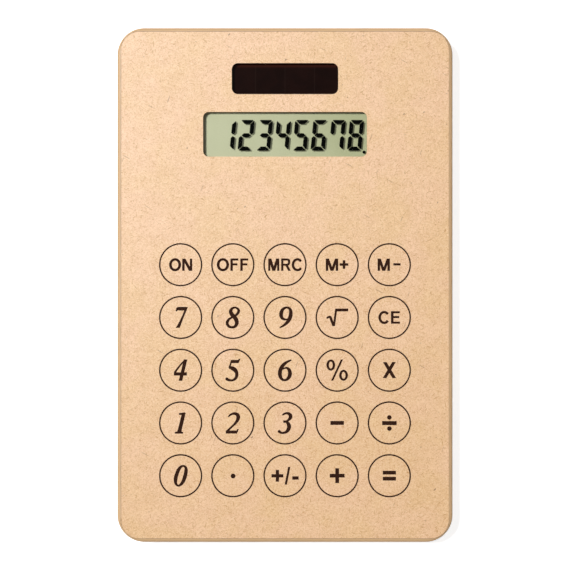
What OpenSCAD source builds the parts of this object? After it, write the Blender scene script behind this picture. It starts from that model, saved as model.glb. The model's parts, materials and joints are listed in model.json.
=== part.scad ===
// Slim desk calculator with a board face, 25 round keys, a display and a solar cell.
// It lies on its feet on z = 0, with the keys facing up (+Z) and the display towards +Y.
// The origin is under the middle of the case. Lengths are in millimetres.

/* [Case] */
// Width of the case
case_w = 115.8; // [114:0.2:130]
// Length of the case
case_l = 177.6; // [177:0.2:195]
// Height of the case, from its underside to its face
case_h = 8.6; // [8.6:0.1:9]
// Corner radius of the case in plan
case_r = 9.3; // [6:0.1:12]
// Rounding of the upper edge
top_round = 1.2; // [0.4:0.1:1.3]
// Rounding of the lower edge
low_round = 2; // [0.4:0.1:2.4]
// Height of the lower shell
lower_h = 3.9; // [3.7:0.1:4.2]
// Wall thickness of both shells
wall_t = 1.6; // [1.2:0.1:2]
// Thickness of the lower shell's floor
floor_t = 1.4; // [1.35:0.05:1.5]
// Rounding on both shells where they meet
seam_round = 0.25; // [0:0.05:0.4]
// Thickness of the plate under the face card
plate_t = 1.3; // [1:0.1:1.4]

/* [Face card] */
// Width of the rim that is left round the card
rim_w = 1.35; // [1.2:0.05:2]
// Corner radius of the card
card_r = 6.4; // [3:0.1:8]
// Thickness of the card
card_t = 0.8; // [0.6:0.05:0.9]

/* [Keys] */
// Distance between keys across the case
pitch_x = 18; // [17.4:0.1:19]
// Distance between keys along the case
pitch_y = 18.2; // [18:0.1:19]
// Middle of the key field along the case
keys_y = -29.4; // [-31:0.1:-28]
// Radius of a key's cap
cap_r = 7.38; // [6.5:0.02:7.4]
// Gap between a cap and its hole in the card
cap_gap = 0.1; // [0.08:0.01:0.2]
// Travel of a key
key_travel = 0.8; // [0.4:0.1:0.9]

/* [Display] */
// Width of the display window
lcd_w = 56.5; // [50:0.5:60]
// Length of the display window
lcd_l = 15.4; // [14:0.1:16]
// Middle of the display window along the case
lcd_y = 52; // [51.8:0.1:52.6]

/* [Solar cell] */
// Width of the solar window
solar_w = 36.7; // [30:0.1:38]
// Length of the solar window
solar_l = 10.7; // [9:0.1:11]
// Middle of the solar window along the case
solar_y = 71.2; // [71:0.1:72]

/* [Battery] */
// Diameter of the button cell
cell_d = 11.6; // [9.5:0.1:11.6]
// Height of the button cell
cell_h = 3.05; // [2.6:0.05:3.05]
// Width of the battery door
door_w = 18; // [16:0.5:20]

/* [Feet] */
// Diameter of a foot
foot_d = 8; // [6:0.5:8]
// Height that the feet lift the case
foot_h = 1; // [0.8:0.1:2]

/* [Hidden] */
$fn = 96;

KEYS = [
  ["key_on", "key_off", "key_mrc", "key_m_plus", "key_m_minus"],
  ["key_7", "key_8", "key_9", "key_root", "key_ce"],
  ["key_4", "key_5", "key_6", "key_percent", "key_multiply"],
  ["key_1", "key_2", "key_3", "key_minus", "key_divide"],
  ["key_0", "key_point", "key_sign", "key_plus", "key_equals"]
];

eps = 0.01; // how far a cut runs past the surface that it opens

// Levels, from the table up
z_case = foot_h;
z_floor = z_case + floor_t;
z_split = z_case + lower_h;
z_top = z_case + case_h;
z_card = z_top - card_t;
glue_t = 0.1;
z_plate_top = z_card - glue_t;
z_plate = z_plate_top - plate_t;

// Keys: a flange under the plate keeps each one in
rows = len(KEYS);
cols = len(KEYS[0]);
hole_r = cap_r + cap_gap;
flange_r = 8.4;
flange_t = 0.8;
z_key = z_plate - flange_t;
stem_r = 2.4;
hollow_r = 6;
hollow_h = 1.4;
notch_w = 1.5;
notch_r = 7.5;
guide_w = 1.2;
guide_r = 7.75;

// Key membrane on the board
mat_t = 0.5;
mat_gap = 1.4; // height of a dome above the sheet
mat_edge = 8.5;
dome_r = 4.8;
dome_top_r = 2.6;
dome_t = 0.5;
pill_r = 1.6;
pill_h = 0.6;

// Board
pcb_t = 1;
z_mat = z_key - mat_gap - mat_t;
z_pcb = z_mat - pcb_t;
pcb_w = 92;
pcb_y0 = -78;
pcb_y1 = 66;

// Display layers, from the card down
polariser_t = 0.2;
front_glass_t = 0.55;
rear_glass_t = 0.7;
reflector_t = 0.25;
glass_w = 63;
glass_y1 = lcd_y + 8.9;
glass_y0 = lcd_y - 8.8;
ledge_l = 3;
z_polariser = z_plate_top - polariser_t;
z_front_glass = z_polariser - front_glass_t;
z_rear_glass = z_front_glass - rear_glass_t;
z_reflector = z_rear_glass - reflector_t;
window_step = 0.4; // how much wider the solar window is in the plate than in the card
lcd_r = 1.9;

// Solar cell under the plate
cell_glass_w = 42;
cell_glass_l = 16;
cell_glass_t = 1.1;
z_solar = z_plate - cell_glass_t;
solar_r = 2.1;
wire_r = 0.35;
wire_x = 17.5;
wire_bend = 0.6;
wire_y0 = 64;
wire_y1 = 67.5;
z_wire = z_mat + 0.9;

// Ribs under the plate that hold the display and the solar cell
rib_t = 1;
rib_gap = 0.2;
z_rib = z_plate - 1.4;

// Battery well, door and contacts
well_y = 70.9;
well_r = cell_d / 2 + 0.25;
door_t = 1.2;
door_gap = 0.15;
tongue_w = 1;
tongue_t = 0.6;
door_y0 = 64.5;
grips = 5;
grip_y = 73.5;
grip_pitch = 1.8;
grip_l = 11;
grip_h = 0.35;
arrow_h = 0.2;
z_door_top = z_case + door_t;
z_channel = z_door_top + door_gap;
z_cell = z_channel + 0.1;
z_well = z_cell + cell_h;
block_w = door_w + 4.8;
block_y0 = 62.6;
block_y1 = 78.2;
notch_gap = 0.2; // between the block and the board
cap_step = 0.3;
leaf_t = 0.3;
leaf_w = 4;
tail_y = 61.7;

// Screws and the bosses that take them
boss_x = 50.5;
BOSS_Y = [-64, 0, 64];
boss_r = 3.4;
post_r = 2.6;
z_post = z_split - 0.7;
screw_r = 1;
head_r = 1.9;
head_h = 1.1;
sink_h = 1.5;
screw_l = 4.4;
board_post_r = 1.9;
board_screw_r = 0.7;
board_head_r = 1.5;
board_head_h = 0.8;
bore_stop = 0.2; // how far below the plate a screw's bore ends
BOARD_SCREWS = [
  for (s = [-1, 1]) each [
    [s * 1.5 * pitch_x, keys_y + 1.5 * pitch_y],
    [s * 1.5 * pitch_x, keys_y - 1.5 * pitch_y],
    [s * 40, 57]
  ]
];

// Feet
foot_x = 48.5;
foot_y = 80.5;
pocket_h = 0.6;
foot_chamfer = 0.4;

// Lip of the upper shell that fits inside the lower one
lip_t = 0.8;
lip_gap = 0.1;
lip_h = 0.8;

KRAFT = "#eecba2";
PLASTIC = "#d9b88f";
GLASS = "#cfd8c8";
METAL = "#c9cccd";

function key_x(col) = (col - (cols - 1) / 2) * pitch_x;
function key_y(row) = keys_y + ((rows - 1) / 2 - row) * pitch_y;

// ---- shared shapes ----

// Rectangle with round corners, centred, in the plane.
module rect_2d(w, l, r) {
  square([w - 2 * r, l], center = true);
  square([w, l - 2 * r], center = true);
  for (x = [r - w / 2, w / 2 - r], y = [r - l / 2, l / 2 - r])
    translate([x, y]) circle(r);
}

// Slab with round corners in plan, from z0 up to z1.
module plate(w, l, r, z0, z1) {
  translate([0, 0, z0]) linear_extrude(z1 - z0) rect_2d(w, l, r);
}

// Strip w wide and r high whose far upper corner is a quarter circle.
module round_band_2d(w, r) {
  square([w - r, r]);
  translate([w - r, 0]) intersection() {
    circle(r);
    square(r);
  }
}

// Section through an edge: w deep and h high, with the outer corners rounded.
module edge_2d(w, h, top, low) {
  translate([0, low]) square([w, h - low - top]);
  if (top > 0) translate([0, h - top]) round_band_2d(w, top);
  if (low > 0) translate([0, low]) mirror([0, 1]) round_band_2d(w, low);
}

// Slab with round corners in plan whose upper and lower edges are rounded too.
// Bars and quarter turns of one section meet face to face round a plain core.
module soft_slab(w, l, r, z0, z1, top = 0, low = 0) {
  x = w / 2 - r;
  y = l / 2 - r;
  h = z1 - z0;
  translate([0, 0, z0]) {
    translate([-x, -y, 0]) cube([2 * x, 2 * y, h]);
    for (turn = [0, 180]) rotate([0, 0, turn]) {
      translate([x, y, 0]) rotate([90, 0, 0]) linear_extrude(2 * y) edge_2d(r, h, top, low);
      translate([-x, y, 0]) rotate([90, 0, 90]) linear_extrude(2 * x) edge_2d(r, h, top, low);
      translate([x, y, 0]) rotate_extrude(angle = 90) edge_2d(r, h, top, low);
      translate([-x, y, 0]) rotate([0, 0, 90]) rotate_extrude(angle = 90) edge_2d(r, h, top, low);
    }
  }
}

// Ring between two round-cornered outlines that are set in from the case's own outline.
module case_ring(outer_inset, inner_inset, z0, z1) {
  translate([0, 0, z0]) linear_extrude(z1 - z0) difference() {
    rect_2d(case_w - 2 * outer_inset, case_l - 2 * outer_inset, case_r - outer_inset);
    rect_2d(case_w - 2 * inner_inset, case_l - 2 * inner_inset, case_r - inner_inset);
  }
}

// Box given by its lowest and highest corners.
module box(low, high) {
  translate(low) cube(high - low);
}

// Repeats its children at every key of the field.
module at_keys() {
  for (row = [0:rows - 1], col = [0:cols - 1])
    translate([key_x(col), key_y(row), 0]) children();
}

// Repeats its children at every case screw.
module at_bosses() {
  for (x = [-boss_x, boss_x], y = BOSS_Y) translate([x, y, 0]) children();
}

// Repeats its children at every board screw.
module at_board_screws() {
  for (at = BOARD_SCREWS) translate([at[0], at[1], 0]) children();
}

// Pan-head screw that points up, with its head's seat at z and a cross in its head.
module screw(z, shank_r, shank_l, r, h) {
  translate([0, 0, z - eps]) cylinder(r = shank_r, h = shank_l + eps);
  difference() {
    translate([0, 0, z - h]) cylinder(r = r, h = h);
    for (turn = [0, 90]) rotate([0, 0, turn])
      translate([-0.65 * r, -0.12 * r, z - h - eps]) cube([1.3 * r, 0.24 * r, 0.45 * h + eps]);
  }
}

// Openings of the face: the key holes and both windows, each grown by the given amounts.
module face_openings_2d(key_grow, window_grow) {
  at_keys() circle(hole_r + key_grow);
  translate([0, lcd_y])
    rect_2d(lcd_w + 2 * window_grow, lcd_l + 2 * window_grow, lcd_r + window_grow);
  translate([0, solar_y])
    rect_2d(solar_w + 2 * window_grow, solar_l + 2 * window_grow, solar_r + window_grow);
}

// The slot in the floor that the battery door slides in, with a groove for its tongues.
module door_channel() {
  x = door_w / 2 + door_gap;
  y = door_y0 - door_gap;
  box([-x, y, z_case - eps], [x, case_l / 2 + 1, z_channel]);
  box([-x - tongue_w, y, z_door_top - tongue_t - 0.1],
      [x + tongue_w, case_l / 2 + 1, z_channel]);
}

// ---- case ----

// Block round the button cell, with rails that run on to the end wall over the door.
module battery_block() {
  difference() {
    box([-block_w / 2, block_y0, z_floor - 0.5], [block_w / 2, block_y1, z_well]);
    translate([0, well_y, z_case]) cylinder(r = well_r, h = case_h);
    box([-leaf_w / 2 - 0.2, well_y - cell_d / 2 - leaf_t - 0.2, z_case],
        [leaf_w / 2 + 0.2, well_y, z_well + 1]);
  }
  for (s = [-1, 1])
    translate([s * (block_w / 2 - 1.5) - 1.5, block_y1 - 1, z_floor - 0.5])
      cube([3, case_l / 2 - wall_t - block_y1 + 1.5, 1.4]);
}

// Posts that carry the board against the push of the keys.
module board_supports() {
  for (x = [-36, 0, 36], y = [-74, -47, -20, 10])
    translate([x, y, z_floor - 0.5]) cylinder(r = 1.5, h = z_pcb - z_floor + 0.5);
  for (x = [-42, 42], y = [38])
    translate([x, y, z_floor - 0.5]) cylinder(r = 1.5, h = z_pcb - z_floor + 0.5);
}

module back_case() {
  color(PLASTIC) difference() {
    union() {
      difference() {
        soft_slab(case_w, case_l, case_r, z_case, z_split, seam_round, low_round);
        plate(case_w - 2 * wall_t, case_l - 2 * wall_t, case_r - wall_t, z_floor, z_split + 1);
      }
      at_bosses() translate([0, 0, z_floor - 0.5]) cylinder(r = boss_r, h = z_post - z_floor + 0.5);
      for (y = [-61, -34, -6])
        box([-44, y - 0.4, z_floor - 0.5], [44, y + 0.4, z_floor + 0.6]);
      board_supports();
      battery_block();
    }
    at_bosses() {
      translate([0, 0, z_case - eps]) cylinder(r = head_r + 0.2, h = sink_h + eps);
      translate([0, 0, z_case]) cylinder(r = screw_r + 0.15, h = case_h);
    }
    for (x = [-foot_x, foot_x], y = [-foot_y, foot_y])
      translate([x, y, z_case - eps]) cylinder(r = foot_d / 2 + 0.1, h = pocket_h + eps);
    door_channel();
  }
}

// Ribs that stop the keys from turning: each one sits in the notches of its neighbours.
module key_guides() {
  for (row = [0:rows - 1], col = [0:cols])
    translate([key_x(col) - pitch_x / 2, key_y(row), (z_key - key_travel + z_plate) / 2])
      cube([pitch_x - 2 * guide_r, guide_w, z_plate - z_key + key_travel + 2 * eps], center = true);
}

// Opening in the plate that the display stands in, right under the card.
module display_pocket() {
  x = glass_w / 2 + rib_gap;
  box([-x, glass_y0 - ledge_l - rib_gap, z_plate - eps], [x, glass_y1 + rib_gap, z_top]);
}

// Ribs that box in the display and the solar cell under the plate.
module window_ribs() {
  x_lcd = glass_w / 2 + rib_gap;
  x_sun = cell_glass_w / 2 + rib_gap;
  y0 = glass_y0 - ledge_l - rib_gap;
  y1 = glass_y1 + rib_gap;
  y2 = solar_y - cell_glass_l / 2 - rib_gap;
  y3 = solar_y + cell_glass_l / 2 + rib_gap;
  z1 = z_plate + eps;
  box([-x_lcd - rib_t, y0 - rib_t, z_rib], [x_lcd + rib_t, y0, z1]);
  box([-x_lcd - rib_t, y1, z_rib], [x_lcd + rib_t, y2, z1]);
  box([-x_sun - rib_t, y3, z_rib], [x_sun + rib_t, y3 + rib_t, z1]);
  for (s = [-1, 1]) {
    translate([s * (x_lcd + rib_t / 2) - rib_t / 2, y0 - rib_t, z_rib])
      cube([rib_t, y1 - y0 + 2 * rib_t, z1 - z_rib]);
    translate([s * (x_sun + rib_t / 2) - rib_t / 2, y2 - rib_t, z_rib])
      cube([rib_t, y3 - y2 + 2 * rib_t, z1 - z_rib]);
  }
}

module front_case() {
  color(PLASTIC) difference() {
    union() {
      difference() {
        soft_slab(case_w, case_l, case_r, z_split, z_top, top_round, seam_round);
        plate(case_w - 2 * rim_w + 0.2, case_l - 2 * rim_w + 0.2, card_r + 0.1, z_plate_top, z_top + 1);
        plate(case_w - 2 * wall_t, case_l - 2 * wall_t, case_r - wall_t, z_split - 1, z_plate);
      }
      case_ring(wall_t - 0.2, wall_t + lip_gap + lip_t, z_split, z_split + lip_h);
      case_ring(wall_t + lip_gap, wall_t + lip_gap + lip_t, z_split - lip_h, z_split + eps);
      at_bosses() translate([0, 0, z_post]) cylinder(r = post_r, h = z_plate - z_post + eps);
      at_board_screws() translate([0, 0, z_mat]) cylinder(r = board_post_r, h = z_plate - z_mat + eps);
      key_guides();
      window_ribs();
    }
    translate([0, 0, z_plate - eps]) linear_extrude(plate_t + 1)
      face_openings_2d(0.15, window_step);
    display_pocket();
    at_bosses() translate([0, 0, z_post - 1])
      cylinder(r = screw_r, h = z_plate - z_post + 1 - bore_stop);
    at_board_screws() translate([0, 0, z_mat - 1])
      cylinder(r = board_screw_r, h = z_plate - z_mat + 1 - bore_stop);
  }
}

// ---- face ----

module card_adhesive() {
  color("#f2ead8") translate([0, 0, z_plate_top]) linear_extrude(glue_t) difference() {
    rect_2d(case_w - 2 * rim_w - 2, case_l - 2 * rim_w - 2, card_r - 1);
    face_openings_2d(0.5, 1);
  }
}

module face_card() {
  color(KRAFT) translate([0, 0, z_card]) linear_extrude(card_t) difference() {
    rect_2d(case_w - 2 * rim_w, case_l - 2 * rim_w, card_r);
    face_openings_2d(0, 0);
  }
}

// Key: a round cap on a flange, hollow from below, with a stem that meets its dome.
module key(col, row) {
  color(KRAFT) translate([key_x(col), key_y(row), 0]) difference() {
    union() {
      translate([0, 0, z_key]) cylinder(r = flange_r, h = flange_t);
      translate([0, 0, z_key + flange_t / 2]) cylinder(r = cap_r, h = z_top - z_key - flange_t / 2);
    }
    translate([0, 0, z_key - eps]) difference() {
      cylinder(r = hollow_r, h = hollow_h + eps);
      translate([0, 0, -1]) cylinder(r = stem_r, h = hollow_h + 2);
    }
    for (s = [-1, 1])
      translate([s * (notch_r + 1) - 1, -notch_w / 2, z_key - eps])
        cube([2, notch_w, flange_t + 2 * eps]);
  }
}

// ---- keypad and board ----

// Hollow dome with a conductive pill inside, revolved round the key's axis.
module dome() {
  top = mat_t + mat_gap;
  rotate_extrude() {
    polygon([
      [dome_r, 0], [dome_r, mat_t], [dome_top_r + 0.4, top - 0.4], [dome_top_r, top - 0.4],
      [dome_top_r, top], [0, top], [0, top - dome_t - 0.1],
      [dome_top_r - 0.1, top - dome_t - 0.1], [dome_r - dome_t, mat_t - 0.1], [dome_r - dome_t, 0]
    ]);
    translate([0, top - dome_t - pill_h]) square([pill_r, pill_h]);
  }
}

module keypad_membrane() {
  y0 = key_y(rows - 1) - mat_edge;
  y1 = key_y(0) + mat_edge + 1;
  x = key_x(cols - 1) + mat_edge;
  color("#c9c9c4") translate([0, 0, z_mat]) {
    linear_extrude(mat_t) difference() {
      translate([-x, y0]) square([2 * x, y1 - y0]);
      at_keys() circle(dome_r);
      at_board_screws() circle(board_post_r + 0.3);
    }
    at_keys() dome();
  }
}

module pcb() {
  color("#3f6b46") translate([0, 0, z_pcb]) linear_extrude(pcb_t) difference() {
    translate([-pcb_w / 2, pcb_y0]) square([pcb_w, pcb_y1 - pcb_y0]);
    translate([-block_w / 2 - notch_gap, block_y0 - notch_gap]) square([block_w + 2 * notch_gap, 10]);
    at_board_screws() circle(board_screw_r + 0.15);
  }
}

// Flat spherical cap of epoxy over the bonded chip, hanging under the board.
module chip_blob() {
  r = 6.5;
  h = 1;
  ball_r = (r * r + h * h) / (2 * h);
  color("#151515") translate([0, 28, z_pcb]) rotate([180, 0, 0]) rotate_extrude() intersection() {
    translate([0, h - ball_r]) circle(ball_r, $fn = 256);
    square([r, h]);
  }
}

module capacitors() {
  color("#b59a6c")
    for (at = [[-16, 30], [-16, 24], [18, 52]])
      translate([at[0], at[1], z_pcb - 0.4]) cube([2, 1.25, 0.8], center = true);
}

module resistors() {
  color("#222222")
    for (at = [[14, 22], [14, 26], [14, 30], [14, 34]])
      translate([at[0], at[1], z_pcb - 0.25]) cube([2, 1.25, 0.5], center = true);
}

// ---- display ----

// One layer of the display, from y0 to the display's far edge.
module lcd_layer(y0, z0, t) {
  box([-glass_w / 2, y0, z0], [glass_w / 2, glass_y1, z0 + t]);
}

module lcd_polariser() {
  color("#aeb394") lcd_layer(glass_y0 + 0.4, z_polariser, polariser_t);
}

module lcd_front_glass() {
  color(GLASS) lcd_layer(glass_y0 - ledge_l, z_front_glass, front_glass_t);
}

module lcd_rear_glass() {
  color(GLASS) lcd_layer(glass_y0, z_rear_glass, rear_glass_t);
}

module lcd_reflector() {
  color("#b9bf98") lcd_layer(glass_y0 + 0.4, z_reflector, reflector_t);
}

module lcd_foam_pad() {
  color("#5a5a5a") box([-28, glass_y0 + 1, z_mat], [28, glass_y1 - 1.2, z_reflector]);
}

module zebra_strip() {
  color("#8f9aa3")
    box([-28, glass_y0 - 2.6, z_mat], [28, glass_y0 - 0.4, z_front_glass]);
}

// ---- solar cell ----

module solar_cell() {
  x = cell_glass_w / 2;
  y = cell_glass_l / 2;
  color("#1e1412") box([-x, solar_y - y, z_solar], [x, solar_y + y, z_plate]);
}

// Quarter bend of a wire in the YZ plane, from upright to level.
module wire_elbow() {
  rotate([90, 0, 90]) rotate_extrude(angle = 90) translate([wire_bend, 0]) circle(wire_r, $fn = 24);
}

// Jumper wire that rises from the board, runs level and rises again to the cell.
module solar_wire(x) {
  translate([x, 0, 0]) {
    translate([0, wire_y0, z_mat])
      cylinder(r = wire_r, h = z_wire - wire_bend - z_mat, $fn = 24);
    translate([0, wire_y0 + wire_bend, z_wire - wire_bend]) rotate([90, 0, 0]) wire_elbow();
    translate([0, wire_y0 + wire_bend, z_wire]) rotate([-90, 0, 0])
      cylinder(r = wire_r, h = wire_y1 - wire_y0 - 2 * wire_bend, $fn = 24);
    translate([0, wire_y1 - wire_bend, z_wire + wire_bend]) rotate([-90, 0, 0]) wire_elbow();
    translate([0, wire_y1, z_wire + wire_bend])
      cylinder(r = wire_r, h = z_solar - z_wire - wire_bend, $fn = 24);
  }
}

module solar_wire_plus() {
  color("#b3261e") solar_wire(wire_x);
}

module solar_wire_minus() {
  color("#1d1d1f") solar_wire(-wire_x);
}

// ---- battery ----

module battery_cell() {
  color(METAL) translate([0, well_y, z_cell]) {
    cylinder(d = cell_d, h = cell_h - cap_step);
    cylinder(d = cell_d - 2.2, h = cell_h);
  }
}

// Leaf that stands against the cell's side, crosses the block and steps down to the board.
module battery_contact_plus() {
  y = well_y - cell_d / 2;
  x = leaf_w / 2;
  color(METAL) {
    box([-x, y - leaf_t, z_channel + 0.3], [x, y, z_well + leaf_t]);
    box([-x, tail_y, z_well], [x, y, z_well + leaf_t]);
    box([-x, tail_y, z_mat], [x, tail_y + leaf_t, z_well + leaf_t]);
  }
}

// Leaf that lies across the cell's cap, runs along the block and steps down to the board.
module battery_contact_minus() {
  x0 = -9.5;
  x1 = x0 + 2;
  color(METAL) {
    box([x0, well_y - 1, z_well], [7, well_y + 1, z_well + leaf_t]);
    box([x0, tail_y, z_well], [x1, well_y + 1, z_well + leaf_t]);
    box([x0, tail_y, z_mat], [x1, tail_y + leaf_t, z_well + leaf_t]);
  }
}

// Door that slides out past the end of the case, with tongues along both sides.
// Grip ribs stand out of it, and a sunk arrow points the way it opens.
module battery_door() {
  x = door_w / 2;
  color(PLASTIC) difference() {
    union() {
      intersection() {
        soft_slab(case_w, case_l, case_r, z_case, z_split, 0, low_round);
        union() {
          box([-x, door_y0, z_case - 1], [x, case_l / 2 + 1, z_door_top]);
          box([-x - tongue_w, door_y0, z_door_top - tongue_t],
              [x + tongue_w, case_l / 2 + 1, z_door_top]);
        }
      }
      for (i = [0:grips - 1])
        translate([-grip_l / 2, grip_y + i * grip_pitch, z_case - grip_h])
          cube([grip_l, grip_pitch / 2, grip_h + eps]);
    }
    translate([0, grip_y - 4, z_case - eps]) linear_extrude(arrow_h + eps)
      polygon([[-2, 0], [2, 0], [0, 2.6]]);
  }
}

// ---- feet and screws ----

module foot(side_x, side_y) {
  color("#4b4742") translate([side_x * foot_x, side_y * foot_y, 0]) {
    cylinder(d1 = foot_d - 2 * foot_chamfer, d2 = foot_d, h = foot_chamfer);
    translate([0, 0, foot_chamfer]) cylinder(d = foot_d, h = foot_h + pocket_h - foot_chamfer);
  }
}

module case_screws() {
  color(METAL) at_bosses() screw(z_case + sink_h, screw_r, screw_l, head_r, head_h);
}

module board_screws() {
  color(METAL) at_board_screws()
    screw(z_pcb, board_screw_r, z_plate - z_pcb - 0.4, board_head_r, board_head_h);
}

back_case();
front_case();
card_adhesive();
face_card();
for (row = [0:rows - 1], col = [0:cols - 1])
  key(col, row);
keypad_membrane();
pcb();
chip_blob();
capacitors();
resistors();
lcd_polariser();
lcd_front_glass();
lcd_rear_glass();
lcd_reflector();
lcd_foam_pad();
zebra_strip();
solar_cell();
solar_wire_plus();
solar_wire_minus();
battery_cell();
battery_contact_plus();
battery_contact_minus();
battery_door();
foot(-1, -1);  // foot_front_left
foot(1, -1);  // foot_front_right
foot(-1, 1);  // foot_rear_left
foot(1, 1);  // foot_rear_right
case_screws();
board_screws();
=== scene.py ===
"""Dressed scene of a slim desk calculator with a kraft-board face.

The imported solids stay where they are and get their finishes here. What is printed,
stamped or moulded too finely for the solids is added here: the key legends and their
rings, the display's digits and bonded glass, the silicone mat with a dome and a pill
under each key, the rubber feet and the button cell's marks.
Lengths are in millimetres unless a name says otherwise, and become metres in the mesh.
"""

import json
import logging
import math
from dataclasses import dataclass, field
from enum import Enum

import bpy
import numpy as np
from mathutils.geometry import tessellate_polygon
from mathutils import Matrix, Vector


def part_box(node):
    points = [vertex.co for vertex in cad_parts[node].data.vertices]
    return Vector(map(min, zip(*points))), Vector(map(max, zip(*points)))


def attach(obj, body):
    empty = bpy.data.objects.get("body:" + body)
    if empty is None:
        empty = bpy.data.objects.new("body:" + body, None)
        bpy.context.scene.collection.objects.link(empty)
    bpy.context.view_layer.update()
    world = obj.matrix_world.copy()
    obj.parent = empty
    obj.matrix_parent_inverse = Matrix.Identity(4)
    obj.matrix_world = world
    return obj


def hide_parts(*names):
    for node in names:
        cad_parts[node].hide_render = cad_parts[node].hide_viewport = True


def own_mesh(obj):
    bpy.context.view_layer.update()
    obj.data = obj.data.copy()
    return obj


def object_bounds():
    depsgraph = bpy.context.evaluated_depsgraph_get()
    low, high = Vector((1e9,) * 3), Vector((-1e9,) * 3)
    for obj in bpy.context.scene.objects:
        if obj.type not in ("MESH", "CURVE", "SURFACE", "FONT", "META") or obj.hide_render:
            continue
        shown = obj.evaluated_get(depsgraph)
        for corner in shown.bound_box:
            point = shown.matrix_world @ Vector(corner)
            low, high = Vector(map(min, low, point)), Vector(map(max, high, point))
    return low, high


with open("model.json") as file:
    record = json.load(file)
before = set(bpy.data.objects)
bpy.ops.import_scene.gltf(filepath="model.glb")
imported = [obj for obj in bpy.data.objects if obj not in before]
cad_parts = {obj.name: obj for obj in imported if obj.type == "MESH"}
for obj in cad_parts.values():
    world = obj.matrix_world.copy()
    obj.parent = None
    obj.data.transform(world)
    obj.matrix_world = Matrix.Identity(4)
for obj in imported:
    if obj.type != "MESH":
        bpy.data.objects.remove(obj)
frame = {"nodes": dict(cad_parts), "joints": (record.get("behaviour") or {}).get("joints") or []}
CAD_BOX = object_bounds()

MM = 0.001
AXIS_R = 0.02  # radius of the small flat that closes a turned piece at its axis
WHITE = (1.0, 1.0, 1.0, 1.0)
LOG = logging.getLogger("calculator")

Point = tuple[float, float, float]
Colour = tuple[float, float, float, float]
Socket = bpy.types.NodeSocket
Inputs = bpy.types.bpy_prop_collection


def tone(code: str) -> Colour:
    """Turns a display colour into a linear one.

    Args:
        code: Six hexadecimal digits, red, green and blue.

    Returns:
        The linear red, green and blue, and an alpha of 1.
    """
    parts = (int(code[i : i + 2], 16) / 255 for i in (0, 2, 4))
    linear = (c / 12.92 if c <= 0.04045 else ((c + 0.055) / 1.055) ** 2.4 for c in parts)
    return (*linear, 1.0)


def shaded(colour: Colour, factor: float) -> Colour:
    """Returns a linear colour with its light scaled by a factor."""
    return (*(part * factor for part in colour[:3]), 1.0)


# ---- shader graphs ----------------------------------------------------------


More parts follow.
